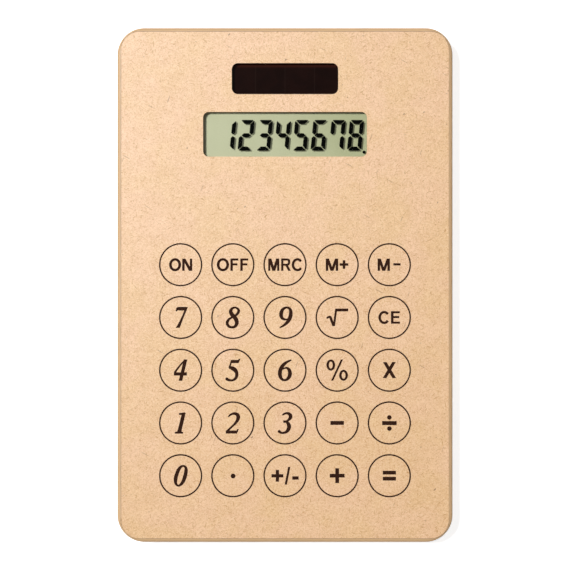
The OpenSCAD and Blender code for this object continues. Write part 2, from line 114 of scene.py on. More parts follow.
class Graph:
    """Adds nodes to one node tree and wires them."""

    def __init__(self, tree: bpy.types.NodeTree) -> None:
        """Keeps the tree that the nodes go into."""
        self.tree = tree

    def add(
        self, kind: str, sockets: dict[object, object] | None = None, **settings: object
    ) -> bpy.types.Node:
        """Adds one node.

        Args:
            kind: The node's type, without its ShaderNode prefix.
            sockets: Inputs by name or number; an output socket is linked, a value is set.
            settings: The node's own properties.

        Returns:
            The new node.
        """
        node = self.tree.nodes.new(f"ShaderNode{kind}")
        for name, value in settings.items():
            setattr(node, name, value)
        for key, value in (sockets or {}).items():
            if isinstance(value, Socket):
                self.tree.links.new(value, node.inputs[key])
            else:
                node.inputs[key].default_value = value
        return node

    def math(self, operation: str, a: object, b: object = 0.0) -> Socket:
        """Combines two values by a named operation and returns the result's socket."""
        return self.add("Math", {0: a, 1: b}, operation=operation).outputs[0]

    def times(self, a: object, b: object) -> Socket:
        """Returns the socket of a times b."""
        return self.math("MULTIPLY", a, b)

    def over(self, a: object, b: object) -> Socket:
        """Returns the socket of a divided by b."""
        return self.math("DIVIDE", a, b)

    def plus(self, a: object, b: object) -> Socket:
        """Returns the socket of a plus b."""
        return self.math("ADD", a, b)

    def minus(self, a: object, b: object) -> Socket:
        """Returns the socket of a minus b."""
        return self.math("SUBTRACT", a, b)

    def scaled(self, vector: object, factor: object) -> Socket:
        """Multiplies a vector by a number and returns the result's socket."""
        return self.add("VectorMath", {0: vector, "Scale": factor}, operation="SCALE").outputs[0]

    def shifted(self, vector: object, offset: object) -> Socket:
        """Adds a vector to another and returns the result's socket."""
        return self.add("VectorMath", {0: vector, 1: offset}).outputs[0]

    def stretched(self, vector: object, factors: object) -> Socket:
        """Multiplies each part of a vector by its own factor and returns the socket."""
        return self.add("VectorMath", {0: vector, 1: factors}, operation="MULTIPLY").outputs[0]

    def turned(self, vector: object, angle: object) -> Socket:
        """Turns a vector round the upright axis and returns the result's socket."""
        sockets = {"Vector": vector, "Angle": angle}
        return self.add("VectorRotate", sockets, rotation_type="Z_AXIS").outputs[0]

    def vector(self, x: object, y: object, z: object) -> Socket:
        """Joins three numbers and returns the vector's socket."""
        return self.add("CombineXYZ", {0: x, 1: y, 2: z}).outputs[0]

    def mix(self, factor: object, a: object, b: object) -> Socket:
        """Mixes two colours and returns the result's socket."""
        return self.add("Mix", {0: factor, 6: a, 7: b}, data_type="RGBA").outputs[2]

    def span(
        self, value: object, low: float, high: float, start: float = 0.0, end: float = 1.0
    ) -> Socket:
        """Eases a value from one range into another.

        Args:
            value: The value to carry over.
            low: Where the ease begins.
            high: Where it ends.
            start: What low becomes.
            end: What high becomes.

        Returns:
            The eased value's socket.
        """
        sockets = {"Value": value, "From Min": low, "From Max": high}
        sockets |= {"To Min": start, "To Max": end}
        return self.add("MapRange", sockets, interpolation_type="SMOOTHSTEP").outputs["Result"]

    def noise(self, vector: object, detail: float = 2.0, warp: float = 0.0) -> Socket:
        """Adds fractal noise with one cell per unit and returns its value's socket."""
        sockets = {"Vector": vector, "Scale": 1.0, "Detail": detail, "Distortion": warp}
        return self.add("TexNoise", sockets).outputs[0]

    def place(self) -> Socket:
        """Returns the socket of the object's own coordinates, in millimetres."""
        return self.scaled(self.add("TexCoord").outputs["Object"], 1 / MM)

    def axes(self) -> Inputs:
        """Returns the sockets of the three coordinates, in millimetres."""
        return self.add("SeparateXYZ", {0: self.place()}).outputs

    def facing_up(self) -> Socket:
        """Returns the socket of how far the surface faces up or down, from 0 to 1."""
        split = self.add("SeparateXYZ", {0: self.add("NewGeometry").outputs["True Normal"]})
        return self.math("ABSOLUTE", split.outputs[2])

    def bump(self, height: object, depth: float) -> Socket:
        """Turns a height into a normal's socket; a height of 1 is the depth, in millimetres."""
        sockets = {"Strength": 1.0, "Distance": depth * MM, "Height": height}
        return self.add("Bump", sockets).outputs[0]


class Effect(Enum):
    """Surface effects that several finishes share, each one node group."""

    CLOUDS = "clouds"
    GRAIN = "grain"
    FIBRES = "fibres"
    FLECKS = "flecks"
    EDGE_WEAR = "edge_wear"
    DUST = "dust"


class Effects:
    """Builds each shared effect's node group once and places it in materials."""

    SOCKETS = {
        Effect.CLOUDS: ("Size",),
        Effect.GRAIN: ("Size",),
        Effect.FIBRES: ("Length", "Width", "Amount"),
        Effect.FLECKS: ("Spacing", "Amount", "Stretch", "Turn"),
        Effect.EDGE_WEAR: ("Radius", "Amount"),
        Effect.DUST: ("Amount",),
    }
    FIBRE_TURNS = (0.35, 1.45, 2.6)

    def __init__(self) -> None:
        """Starts with no groups built."""
        self.groups: dict[Effect, bpy.types.NodeTree] = {}

    def place(self, graph: Graph, effect: Effect, **values: float) -> Socket:
        """Places an effect in a material.

        Args:
            graph: The material's graph.
            effect: Which effect.
            values: The group's own inputs, in lower case.

        Returns:
            The socket of the effect's mask.
        """
        if effect not in self.groups:
            self.groups[effect] = self._build(effect)
        node = graph.add("Group", node_tree=self.groups[effect])
        graph.tree.links.new(graph.place(), node.inputs["Position"])
        for name, value in values.items():
            node.inputs[name.capitalize()].default_value = value
        return node.outputs["Mask"]

    def _build(self, effect: Effect) -> bpy.types.NodeTree:
        """Builds one effect's group, with a position, its own numbers and a mask.

        Args:
            effect: Which effect.

        Returns:
            The new group.
        """
        tree = bpy.data.node_groups.new(effect.value, "ShaderNodeTree")
        tree.interface.new_socket("Position", in_out="INPUT", socket_type="NodeSocketVector")
        for name in self.SOCKETS[effect]:
            socket = tree.interface.new_socket(name, in_out="INPUT", socket_type="NodeSocketFloat")
            socket.default_value = 0.0 if name == "Turn" else 1.0
        tree.interface.new_socket("Mask", in_out="OUTPUT", socket_type="NodeSocketFloat")
        inside = tree.nodes.new("NodeGroupInput").outputs
        mask = getattr(self, f"_{effect.value}")(Graph(tree), inside)
        tree.links.new(mask, tree.nodes.new("NodeGroupOutput").inputs[0])
        return tree

    @staticmethod
    def _cells(graph: Graph, inside: Inputs, size: str) -> Socket:
        """Returns the position counted in cells of the named size."""
        return graph.scaled(inside["Position"], graph.over(1.0, inside[size]))

    def _clouds(self, graph: Graph, inside: Inputs) -> Socket:
        """Soft patches: low fractal noise stretched to the full range."""
        return graph.span(graph.noise(self._cells(graph, inside, "Size"), 2.0, 0.4), 0.3, 0.7)

    def _grain(self, graph: Graph, inside: Inputs) -> Socket:
        """Fine grain: rougher fractal noise, stretched less."""
        return graph.span(graph.noise(self._cells(graph, inside, "Size"), 4.0), 0.25, 0.75)

    def _fibres(self, graph: Graph, inside: Inputs) -> Socket:
        """Short fibres: crests of noise that is stretched along three directions in turn.

        Args:
            graph: The group's graph.
            inside: The group's inputs.

        Returns:
            The socket of the mask.
        """
        bends_per_mm, bend_reach, crest_from, crest_to = 0.35, 1.6, 0.64, 0.76
        position = inside["Position"]
        bent = graph.add("TexNoise", {"Vector": position, "Scale": bends_per_mm, "Detail": 1.0})
        start = graph.shifted(position, graph.scaled(bent.outputs["Color"], bend_reach))
        thin = graph.over(1.0, inside["Width"])
        squeeze = graph.vector(graph.over(1.0, inside["Length"]), thin, thin)
        layers = []
        for angle in self.FIBRE_TURNS:
            pulled = graph.stretched(graph.turned(start, angle), squeeze)
            layers.append(graph.span(graph.noise(pulled, 1.0), crest_from, crest_to))
        most = graph.math("MAXIMUM", graph.math("MAXIMUM", layers[0], layers[1]), layers[2])
        return graph.times(most, inside["Amount"])

    def _flecks(self, graph: Graph, inside: Inputs) -> Socket:
        """Scattered specks: a small patch round a few of the points of a cell pattern.

        The pattern is turned and squeezed one way first, which draws the specks out,
        and it hardly changes with height, so that a flat face shows all of them.

        Args:
            graph: The group's graph.
            inside: The group's inputs.

        Returns:
            The socket of the mask.
        """
        upright, waves, ragged, least, reach_of_one, core = 0.02, 4.0, 0.16, 0.35, 0.13, 0.45
        turned = graph.turned(self._cells(graph, inside, "Spacing"), inside["Turn"])
        shrink = graph.vector(graph.over(1.0, inside["Stretch"]), 1.0, upright)
        cells = graph.stretched(turned, shrink)
        wavy = graph.add("TexNoise", {"Vector": cells, "Scale": waves, "Detail": 1.0})
        moved = graph.shifted(cells, graph.scaled(wavy.outputs["Color"], ragged))
        spots = graph.add("TexVoronoi", {"Vector": moved, "Scale": 1.0})
        chance = graph.add("SeparateColor", {0: spots.outputs["Color"]}).outputs
        chosen = graph.math("LESS_THAN", chance[0], inside["Amount"])
        reach = graph.times(graph.plus(chance[1], least), reach_of_one)
        near = graph.over(spots.outputs["Distance"], reach)
        return graph.times(graph.span(near, 1.0, core), chosen)

    def _edge_wear(self, graph: Graph, inside: Inputs) -> Socket:
        """Rubbed edges: where a softened normal leaves the true one, broken up by noise.

        Args:
            graph: The group's graph.
            inside: The group's inputs.

        Returns:
            The socket of the mask.
        """
        begins, full, per_mm, bare, rubbed = 0.985, 0.8, 0.9, 0.38, 0.66
        soft = graph.add("Bevel", {"Radius": graph.times(inside["Radius"], MM)}, samples=4)
        true = graph.add("NewGeometry").outputs["Normal"]
        same = graph.add("VectorMath", {0: soft.outputs[0], 1: true}, operation="DOT_PRODUCT")
        edge = graph.span(same.outputs["Value"], begins, full)
        broken = graph.noise(graph.scaled(inside["Position"], per_mm), 3.0)
        patchy = graph.span(broken, bare, rubbed)
        return graph.times(graph.times(edge, patchy), inside["Amount"])

    def _dust(self, graph: Graph, inside: Inputs) -> Socket:
        """Settled dust: patches that lie on surfaces facing up or down.

        Args:
            graph: The group's graph.
            inside: The group's inputs.

        Returns:
            The socket of the mask.
        """
        per_mm, clean, dusty = 0.12, 0.45, 0.8
        drifts = graph.noise(graph.scaled(inside["Position"], per_mm), 5.0)
        patches = graph.span(drifts, clean, dusty)
        return graph.times(graph.times(patches, graph.facing_up()), inside["Amount"])


EFFECTS = Effects()


# ---- finishes ---------------------------------------------------------------


@dataclass(frozen=True)
class Finish:
    """A named surface finish. Each kind adds its own pattern to the plain shader.

    Sizes, depths and radii of a pattern are in millimetres. A share says how much of
    another tone comes in where its mask is full.
    """

    name: str
    colour: str
    roughness: float
    specular: float = 0.5

    def material(self) -> bpy.types.Material:
        """Makes this finish's material on first use, and finds it again later.

        Returns:
            The material.
        """
        made = bpy.data.materials.get(self.name)
        if made is None:
            made = bpy.data.materials.new(self.name)
            made.use_nodes = True
            made.node_tree.nodes.clear()
            graph = Graph(made.node_tree)
            surface = graph.add("BsdfPrincipled", {"Roughness": self.roughness})
            surface.inputs["Specular IOR Level"].default_value = self.specular
            graph.add("OutputMaterial", {"Surface": surface.outputs[0]})
            self.pattern(graph, surface)
        return made

    def pattern(self, graph: Graph, surface: bpy.types.Node) -> None:
        """Adds the finish's detail to its shader; each kind of finish has its own."""
        raise NotImplementedError

    def gloss(self, graph: Graph, mask: Socket, under: float, over: float) -> Socket:
        """Returns the roughness, which a mask carries from a bit under to a bit over."""
        return graph.span(mask, 0.0, 1.0, self.roughness - under, self.roughness + over)

    @staticmethod
    def link(graph: Graph, surface: bpy.types.Node, **sockets: object) -> None:
        """Feeds sockets to the shader's inputs, named in lower case with underscores."""
        for name, socket in sockets.items():
            graph.tree.links.new(socket, surface.inputs[name.replace("_", " ").title()])


@dataclass(frozen=True)
class Moulded(Finish):
    """Moulded plastic, rubber or silicone with a fine spark-eroded texture."""

    specular: float = 0.35
    grain: float = 0.25
    depth: float = 0.02
    worn: str = "ffffff"
    wear: float = 0.25
    wear_r: float = 0.5
    patch: float = 14.0
    darker: float = 0.96
    dust: float = 0.12
    uneven: float = 0.02
    polish: float = 0.2

    def pattern(self, graph: Graph, surface: bpy.types.Node) -> None:
        """Adds tone patches, rubbed edges, uneven gloss and the mould's texture.

        Args:
            graph: The material's graph.
            surface: Its shader.
        """
        base = tone(self.colour)
        darker = shaded(base, self.darker)
        patches = EFFECTS.place(graph, Effect.CLOUDS, size=self.patch)
        texture = EFFECTS.place(graph, Effect.GRAIN, size=self.grain)
        colour = graph.mix(patches, base, darker)
        colour = graph.mix(graph.times(texture, 0.1), colour, darker)
        rubbed = EFFECTS.place(graph, Effect.EDGE_WEAR, radius=self.wear_r, amount=self.wear)
        colour = graph.mix(rubbed, colour, tone(self.worn))
        dusty = EFFECTS.place(graph, Effect.DUST, amount=self.dust)
        rough = graph.plus(self.gloss(graph, patches, self.uneven, self.uneven), dusty)
        rough = graph.minus(rough, graph.times(rubbed, self.polish))
        relief = graph.bump(texture, self.depth)
        self.link(graph, surface, base_color=colour, roughness=rough, normal=relief)


@dataclass(frozen=True)
class Kraft(Finish):
    """Kraft board: mottled pulp with fibres and dark flecks, browner where it is cut.

    Below a given height the piece is the moulded carrier that the board is bonded to.
    """

    specular: float = 0.42
    warm: str = "f1c79f"
    dark: str = "b88549"
    pale: str = "fbe2c0"
    fleck: str = "704826"
    cut: str = "5a3d20"
    carrier: str = "d8b68e"
    board_from: float = -1.0
    relief: float = 0.016

    def pattern(self, graph: Graph, surface: bpy.types.Node) -> None:
        """Adds mottling, fibres, flecks, browned cuts, the carrier and a soft relief.

        Args:
            graph: The material's graph.
            surface: Its shader.
        """
        wide = EFFECTS.place(graph, Effect.CLOUDS, size=13.0)
        soft = EFFECTS.place(graph, Effect.CLOUDS, size=4.5)
        small = EFFECTS.place(graph, Effect.CLOUDS, size=1.1)
        grit = EFFECTS.place(graph, Effect.GRAIN, size=0.5)
        pulp = EFFECTS.place(graph, Effect.FIBRES, length=0.9, width=0.3, amount=1.0)
        fibres = EFFECTS.place(graph, Effect.FIBRES, length=2.2, width=0.3, amount=1.0)
        specks = EFFECTS.place(graph, Effect.FLECKS, spacing=1.8, amount=0.09)
        flecks = EFFECTS.place(
            graph, Effect.FLECKS, spacing=2.8, amount=0.05, stretch=1.6, turn=2.2
        )
        hairs = EFFECTS.place(
            graph, Effect.FLECKS, spacing=1.4, amount=0.2, stretch=10.0, turn=0.5
        )
        strands = EFFECTS.place(
            graph, Effect.FLECKS, spacing=1.3, amount=0.2, stretch=9.0, turn=1.9
        )
        colour = graph.mix(wide, tone(self.colour), tone(self.warm))
        for mask, share, other in (
            (soft, 0.11, self.dark),
            (small, 0.16, self.dark),
            (graph.span(grit, 0.62, 0.12), 0.26, self.dark),
            (graph.span(grit, 0.6, 1.0), 0.25, self.pale),
            (pulp, 0.25, self.pale),
            (fibres, 0.8, self.dark),
            (hairs, 0.5, self.fleck),
            (strands, 0.5, self.fleck),
            (specks, 0.5, self.fleck),
            (flecks, 0.75, self.fleck),
            (graph.span(graph.facing_up(), 0.75, 0.4), 1.0, self.cut),
        ):
            colour = graph.mix(graph.times(mask, share), colour, tone(other))
        if self.board_from > 0:
            below = graph.math("LESS_THAN", graph.axes()[2], self.board_from)
            colour = graph.mix(below, colour, tone(self.carrier))
        rough = self.gloss(graph, small, 0.04, 0.05)
        height = graph.plus(graph.times(grit, 0.6), graph.times(fibres, 0.5))
        relief = graph.bump(height, self.relief)
        self.link(graph, surface, base_color=colour, roughness=rough, normal=relief)


@dataclass(frozen=True)
class Ink(Finish):
    """Screen-printed ink that lets a little of the board's grain through."""

    specular: float = 0.04
    thin: str = "482b1b"
    shade: float = 1.0
    spot: float = 0.3
    relief: float = 0.01

    def pattern(self, graph: Graph, surface: bpy.types.Node) -> None:
        """Adds thinner spots over the board's high grain and a slightly uneven gloss.

        A shade below 1 lets part of the light through where the film casts a shadow.

        Args:
            graph: The material's graph.
            surface: Its shader.
        """
        if self.shade < 1:
            shadow = graph.add("LightPath").outputs["Is Shadow Ray"]
            self.link(graph, surface, alpha=graph.span(shadow, 0.0, 1.0, 1.0, self.shade))
        spots = EFFECTS.place(graph, Effect.GRAIN, size=self.spot)
        thin = graph.span(spots, 0.55, 0.95)
        colour = graph.mix(thin, tone(self.colour), tone(self.thin))
        rough = self.gloss(graph, spots, 0.0, 0.2)
        relief = graph.bump(spots, self.relief)
        self.link(graph, surface, base_color=colour, roughness=rough, normal=relief)


@dataclass(frozen=True)
class Clear(Finish):
    """A thin clear layer, plain glass or tinted film, that lets most of the light past."""

    cover: float = 0.05

    def pattern(self, graph: Graph, surface: bpy.types.Node) -> None:
        """Adds faint smears, dust specks and a stronger gloss at glancing angles.

        Args:
            graph: The material's graph.
            surface: Its shader.
        """
        smears = EFFECTS.place(graph, Effect.CLOUDS, size=6.0)
        specks = EFFECTS.place(graph, Effect.FLECKS, spacing=2.0, amount=0.02)
        glancing = graph.add("LayerWeight", {"Blend": 0.25}).outputs["Facing"]
        cover = graph.span(smears, 0.0, 1.0, self.cover * 0.85, self.cover * 1.15)
        cover = graph.plus(cover, graph.times(specks, 0.05))
        cover = graph.plus(cover, graph.span(glancing, 0.3, 1.0, 0.0, 0.6))
        colour = graph.mix(smears, tone(self.colour), shaded(tone(self.colour), 0.9))
        rough = self.gloss(graph, smears, 0.0, 0.1)
        self.link(graph, surface, base_color=colour, alpha=cover, roughness=rough)


@dataclass(frozen=True)
class Reflector(Finish):
    """The pale backing film of a display, with a fine metallic tooth and painted sheen that fades
    from left to right.
    """

    specular: float = 0.03
    # other is the right end's tone and reach the half span: painted shade where the lamp's sheen
    # falls off
    other: str = "b1b68c"
    reach: float = 30.0
    relief: float = 0.005

    def pattern(self, graph: Graph, surface: bpy.types.Node) -> None:
        """Adds a slight tooth, and painted sheen: lighter at the left, darker at the right, with
        some random tone.

        Args:
            graph: The material's graph.
            surface: Its shader.
        """
        # painted sheen: the colour runs from the lit tone at the left to the darker tone at the
        # right
        painted_sheen_and_clouds = graph.span(graph.axes()[0], -self.reach, self.reach)
        cloudy = EFFECTS.place(graph, Effect.CLOUDS, size=16.0)
        painted_sheen_and_clouds = graph.plus(graph.times(painted_sheen_and_clouds, 0.8), graph.times(cloudy, 0.2))
        tooth = EFFECTS.place(graph, Effect.GRAIN, size=0.3)
        colour = graph.mix(painted_sheen_and_clouds, tone(self.colour), tone(self.other))
        colour = graph.mix(graph.times(tooth, 0.3), colour, shaded(tone(self.colour), 0.9))
        self.link(graph, surface, base_color=colour, normal=graph.bump(tooth, self.relief))


@dataclass(frozen=True)
class SolarGlass(Finish):
    """Dark amorphous cell behind glass, scribed into four strips."""

    specular: float = 0.01
    strip: float = 10.2
    line: str = "4a3a34"
    line_share: float = 0.13
    # painted shade: a reddish-brown band along the far edge, for the board's shaded cut edge above
    # the cell
    edge: str = "36150c"
    shade_band_y: float = 76.1
    shade_band_width: float = 1.2

    def pattern(self, graph: Graph, surface: bpy.types.Node) -> None:
        """Adds the scribed lines, painted shade along the far edge, reddish brown for the board's
        shaded cut edge, and a faint bloom.

        Args:
            graph: The material's graph.
            surface: Its shader.
        """
        axes = graph.axes()
        phase = graph.math("FRACT", graph.plus(graph.over(axes[0], self.strip), 0.5))
        away = graph.times(graph.math("ABSOLUTE", graph.minus(phase, 0.5)), self.strip)
        scribed = graph.span(away, 0.16, 0.05)
        bloom = EFFECTS.place(graph, Effect.CLOUDS, size=5.0)
        colour = graph.mix(bloom, tone(self.colour), shaded(tone(self.colour), 1.5))
        colour = graph.mix(graph.times(scribed, self.line_share), colour, tone(self.line))
        # painted shade: the cell turns reddish brown towards its far edge
        rear = graph.span(axes[1], self.shade_band_y - self.shade_band_width, self.shade_band_y)
        colour = graph.mix(rear, colour, tone(self.edge))
        fine = EFFECTS.place(graph, Effect.GRAIN, size=0.4)
        rough = self.gloss(graph, fine, 0.0, 0.12)
        self.link(graph, surface, base_color=colour, roughness=rough)


@dataclass(frozen=True)
class Metal(Finish):
    """Plated or rolled metal with fine drawn lines."""

    stretch: float = 12.0
    bright: str = "f2f2ee"
    relief: float = 0.008

    def pattern(self, graph: Graph, surface: bpy.types.Node) -> None:
        """Adds drawn lines, tarnish in patches and bright rubbed edges.

        Args:
            graph: The material's graph.
            surface: Its shader.
        """
        surface.inputs["Metallic"].default_value = 1.0
        pulled = graph.stretched(graph.place(), (1.0, self.stretch, 3.0))
        lines = graph.noise(graph.scaled(pulled, 0.8), 3.0)
        tarnish = EFFECTS.place(graph, Effect.CLOUDS, size=3.0)
        rubbed = EFFECTS.place(graph, Effect.EDGE_WEAR, radius=0.2, amount=0.6)
        colour = graph.mix(tarnish, tone(self.colour), shaded(tone(self.colour), 0.72))
        colour = graph.mix(rubbed, colour, tone(self.bright))
        rough = graph.span(lines, 0.3, 0.7, self.roughness - 0.08, self.roughness + 0.12)
        relief = graph.bump(lines, self.relief)
        self.link(graph, surface, base_color=colour, roughness=rough, normal=relief)


@dataclass(frozen=True)
class SolderMask(Finish):
    """Circuit board: solder mask over tracks, with carbon contacts under the keys.

    The contacts repeat from one key to the next one across and along.
    """

    track: str = "2f7a4a"
    carbon: str = "15151a"
    laminate: str = "b9ae83"
    blocks_per_mm: float = 0.11
    track_pitch: float = 1.27
    key: str = "key_6"
    next_key: str = "key_root"
    contact: float = 0.2
    teeth: float = 22.0
    relief: float = 0.03

    def pattern(self, graph: Graph, surface: bpy.types.Node) -> None:
        """Adds stepped tracks, the interleaved contacts and the laminate's cut edge.

        Args:
            graph: The material's graph.
            surface: Its shader.
        """
        axes = graph.axes()
        cells = {"Vector": graph.place(), "Scale": self.blocks_per_mm}
        blocks = graph.add("TexVoronoi", cells, distance="CHEBYCHEV")
        lean = graph.add("SeparateColor", {0: blocks.outputs["Color"]}).outputs[0]
        way = graph.add("Mix", {0: graph.math("GREATER_THAN", lean, 0.5), 2: axes[0], 3: axes[1]})
        comb = graph.math("FRACT", graph.over(way.outputs[0], self.track_pitch))
        near = graph.math("ABSOLUTE", graph.minus(comb, 0.5))
        tracks = graph.span(near, 0.24, 0.18)
        colour = graph.mix(tracks, tone(self.colour), tone(self.track))
        spans, middle = [], middle_of(self.key)
        for axis, pitch in enumerate(middle_of(self.next_key) - middle):
            turn = graph.over(graph.minus(axes[axis], middle[axis]), pitch)
            spans.append(graph.minus(turn, graph.math("ROUND", turn)))
        flat = graph.vector(spans[0], spans[1], 0.0)
        reach = graph.add("VectorMath", {0: flat}, operation="LENGTH").outputs["Value"]
        inside = graph.math("LESS_THAN", reach, self.contact)
        rows = graph.math("FRACT", graph.times(spans[0], self.teeth))
        teeth = graph.times(inside, graph.math("GREATER_THAN", rows, 0.35))
        colour = graph.mix(teeth, colour, tone(self.carbon))
        cut = graph.span(graph.facing_up(), 0.6, 0.3)
        colour = graph.mix(cut, colour, tone(self.laminate))
        weave = EFFECTS.place(graph, Effect.GRAIN, size=0.5)
        height = graph.plus(tracks, graph.times(weave, 0.3))
        rough = self.gloss(graph, weave, 0.0, 0.15)
        relief = graph.bump(height, self.relief)
        self.link(graph, surface, base_color=colour, roughness=rough, normal=relief)


CASE = Moulded(
    "case_plastic_finish", "d2ac80", 0.42, grain=0.32, depth=0.012, worn="f0dcc2", wear=0.22
)
BOARD = Kraft("kraft_board_finish", "ecc493", 0.34)
KEY_TOP = Kraft("key_cap_finish", "ecc493", 0.34, board_from=8.75)
PRINT = Ink("legend_ink_finish", "2a1409", 0.5)
GLUE = Moulded("adhesive_finish", "e6dcc0", 0.35, grain=0.6, depth=0.02, wear=0.0)
SILICONE = Moulded("silicone_finish", "c9c6bd", 0.6, grain=0.4, depth=0.02, wear=0.05)
PILL = Moulded("carbon_pill_finish", "17171a", 0.7, grain=0.3, depth=0.02, worn="3a3a3e", wear=0.1)
CIRCUIT = SolderMask("circuit_board_finish", "1d5a36", 0.38)
EPOXY = Moulded("epoxy_finish", "14130f", 0.18, grain=1.2, depth=0.03, worn="3a3934", wear=0.1)
CHIP = Moulded("ceramic_chip_finish", "b79a72", 0.5, grain=0.2, depth=0.01, wear=0.1)
GLASS = Clear("display_glass_finish", "3c4233", 0.25, cover=0.012)
# ced1ae is the film's left end, lightened by painted sheen; the darker right end is painted shade
BACKING = Reflector("reflector_finish", "ced1ae", 0.33)
SEGMENTS = Ink("segment_finish", "020302", 0.6, thin="050605", specular=0.0, shade=0.6)
FOAM = Moulded("foam_finish", "3a3a3c", 0.95, grain=0.5, depth=0.15, worn="4a4a4c", wear=0.1)
CELL = SolarGlass("solar_cell_finish", "130604", 0.22)
STEEL = Metal("steel_finish", "a6a9ac", 0.32)
MARK = Metal("stamped_steel_finish", "8d9093", 0.45)
RUBBER = Moulded(
    "foot_rubber_finish", "2a2826", 0.72, grain=0.3, depth=0.03, worn="56524d", wear=0.3
)
RED = Moulded("red_wire_finish", "a8251d", 0.4, grain=0.3, depth=0.01, wear=0.1)
BLACK = Moulded("black_wire_finish", "1b1b1c", 0.4, grain=0.3, depth=0.01, wear=0.1)
ZEBRA = Moulded("elastomer_finish", "2e2c30", 0.7, grain=0.15, depth=0.02, worn="605c62", wear=0.1)


# ---- surfaces ---------------------------------------------------------------


def added(name: str, data: bpy.types.ID) -> bpy.types.Object:
    """Puts a mesh, a lamp or a camera into the scene as a new object.

    Args:
        name: The object's name.
        data: What it shows.

    Returns:
        The new object.
    """
    made = bpy.data.objects.new(name, data)
    bpy.context.scene.collection.objects.link(made)
    return made


class Surface:
    """Closed surfaces worked out as whole arrays, gathered into one mesh."""

    def __init__(self) -> None:
        """Starts empty."""
        self.points: list[np.ndarray] = []
        self.faces: list[tuple[int, ...]] = []
        self.count = 0

    def _grid(self, rings: np.ndarray, wrap: bool) -> None:
        """Adds a grid of rings: quads join each ring's points to the next ring's.

        The grid is rings by points. Along a ring it always closes on itself; from the
        last ring it goes back to the first if it wraps, and otherwise both ends are
        closed with a single face each.

        Args:
            rings: Points as rings, points in a ring, and three coordinates.
            wrap: Whether the last ring joins the first.
        """
        n, m = rings.shape[:2]
        index = np.arange(n * m).reshape(n, m) + self.count
        here = index if wrap else index[:-1]
        after = np.roll(index, -1, axis=0) if wrap else index[1:]
        here_next, after_next = (np.roll(side, -1, axis=1) for side in (here, after))
        quads = np.stack([here, here_next, after_next, after], axis=2)
        self.faces += list(map(tuple, quads.reshape(-1, 4).tolist()))
        if not wrap:
            self.faces += [tuple(index[0][::-1].tolist()), tuple(index[-1].tolist())]
        self.points.append(rings.reshape(-1, 3))
        self.count += n * m

    def ribbon(
        self, left: np.ndarray, right: np.ndarray, low: float, high: float | np.ndarray, wrap: bool
    ) -> None:
        """Adds a flat ribbon: an upright rectangle carried along a path.

        At each station of the path the rectangle runs from the left edge to the right
        edge and from the low level to the high one.

        Args:
            left: The path's left edge, points by two.
            right: Its right edge.
            low: Level of the underside.
            high: Level of the top, the same all along or one for each station.
            wrap: Whether the path closes on itself.
        """
        corners = [(left, low), (right, low), (right, high), (left, high)]
        rings = [np.column_stack([edge, np.full(len(edge), level)]) for edge, level in corners]
        self._grid(np.stack(rings, axis=1)[:, ::-1], wrap)

    def prism(self, outline: np.ndarray, low: float, high: float) -> None:
        """Adds a flat outline, given anticlockwise, carried straight up from low to high."""
        rings = [np.column_stack([outline, np.full(len(outline), level)]) for level in (low, high)]
        self._grid(np.stack(rings), wrap=False)

    def plate(self, loops: list[np.ndarray], low: float, high: float) -> None:
        """Adds a flat plate with holes.

        The walls are quads between the two levels. The flat faces are triangles, turned
        where their first two sides run clockwise.

        Args:
            loops: The outline, anticlockwise, then the holes, clockwise, points by two.
            low: Level of the underside.
            high: Level of the top.
        """
        flat = np.vstack(loops)
        count, sizes = len(flat), [len(loop) for loop in loops]
        starts = np.repeat(np.cumsum([0, *sizes[:-1]]), sizes)
        here = np.arange(count)
        after = starts + (here - starts + 1) % np.repeat(sizes, sizes)
        walls = np.stack([here, after, after + count, here + count], axis=1)
        filled = np.array(tessellate_polygon([[(x, y, 0.0) for x, y in loop] for loop in loops]))
        first, second = (flat[filled[:, k]] - flat[filled[:, 0]] for k in (1, 2))
        turned = first[:, 0] * second[:, 1] < first[:, 1] * second[:, 0]
        filled[turned] = filled[turned][:, ::-1]
        for faces in (walls, filled + count, filled[:, ::-1]):
            self.faces += list(map(tuple, (faces + self.count).tolist()))
        self.points += [np.column_stack([flat, np.full(count, level)]) for level in (low, high)]
        self.count += 2 * count

    def tiers(self, steps: list[tuple[np.ndarray, float]]) -> None:
        """Adds a stepped slab: anticlockwise outlines of equal length at rising levels."""
        rings = [np.column_stack([line, np.full(len(line), level)]) for line, level in steps]
        self._grid(np.stack(rings), wrap=False)

    def turned(self, profile: np.ndarray, centre: tuple[float, float], sides: int = 64) -> None:
        """Adds a turned solid: a profile of radius and height swept round an upright axis.

        A point of the profile at radius r and height z goes to the centre plus r times
        the cosine and sine of the angle, at height z.

        Args:
            profile: Radius and height from the lower end of the axis to the upper.
            centre: Where the axis stands.
            sides: How many steps the sweep takes.
        """
        angle = np.linspace(0, 2 * np.pi, sides, endpoint=False)[None, :]
        radius, height = profile[:, :1], profile[:, 1:]
        x = centre[0] + radius * np.cos(angle)
        y = centre[1] + radius * np.sin(angle)
        self._grid(np.stack([x, y, height + 0 * angle], axis=2), wrap=False)

    def piece(self, name: str, finish: Finish, body: str) -> bpy.types.Object:
        """Makes the mesh object, gives it its finish and lets it ride.

        Args:
            name: The piece's name.
            finish: Its finish.
            body: The body that it rides on.

        Returns:
            The new object, at the origin.
        """
        mesh = bpy.data.meshes.new(name)
        mesh.from_pydata((np.vstack(self.points) * MM).tolist(), [], self.faces)
        mesh.validate()
        mesh.materials.append(finish.material())
        made = added(name, mesh)
        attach(made, body)
        LOG.info("%s: %d faces on %s", name, len(mesh.polygons), body)
        return made


def circle(middle: np.ndarray, radius: float, sides: int, clockwise: bool = False) -> np.ndarray:
    """Works out a circle: the middle plus the radius times the angle's cosine and sine."""
    angle = np.linspace(0, -2 * np.pi if clockwise else 2 * np.pi, sides, endpoint=False)
    return middle + radius * np.stack([np.cos(angle), np.sin(angle)], axis=1)


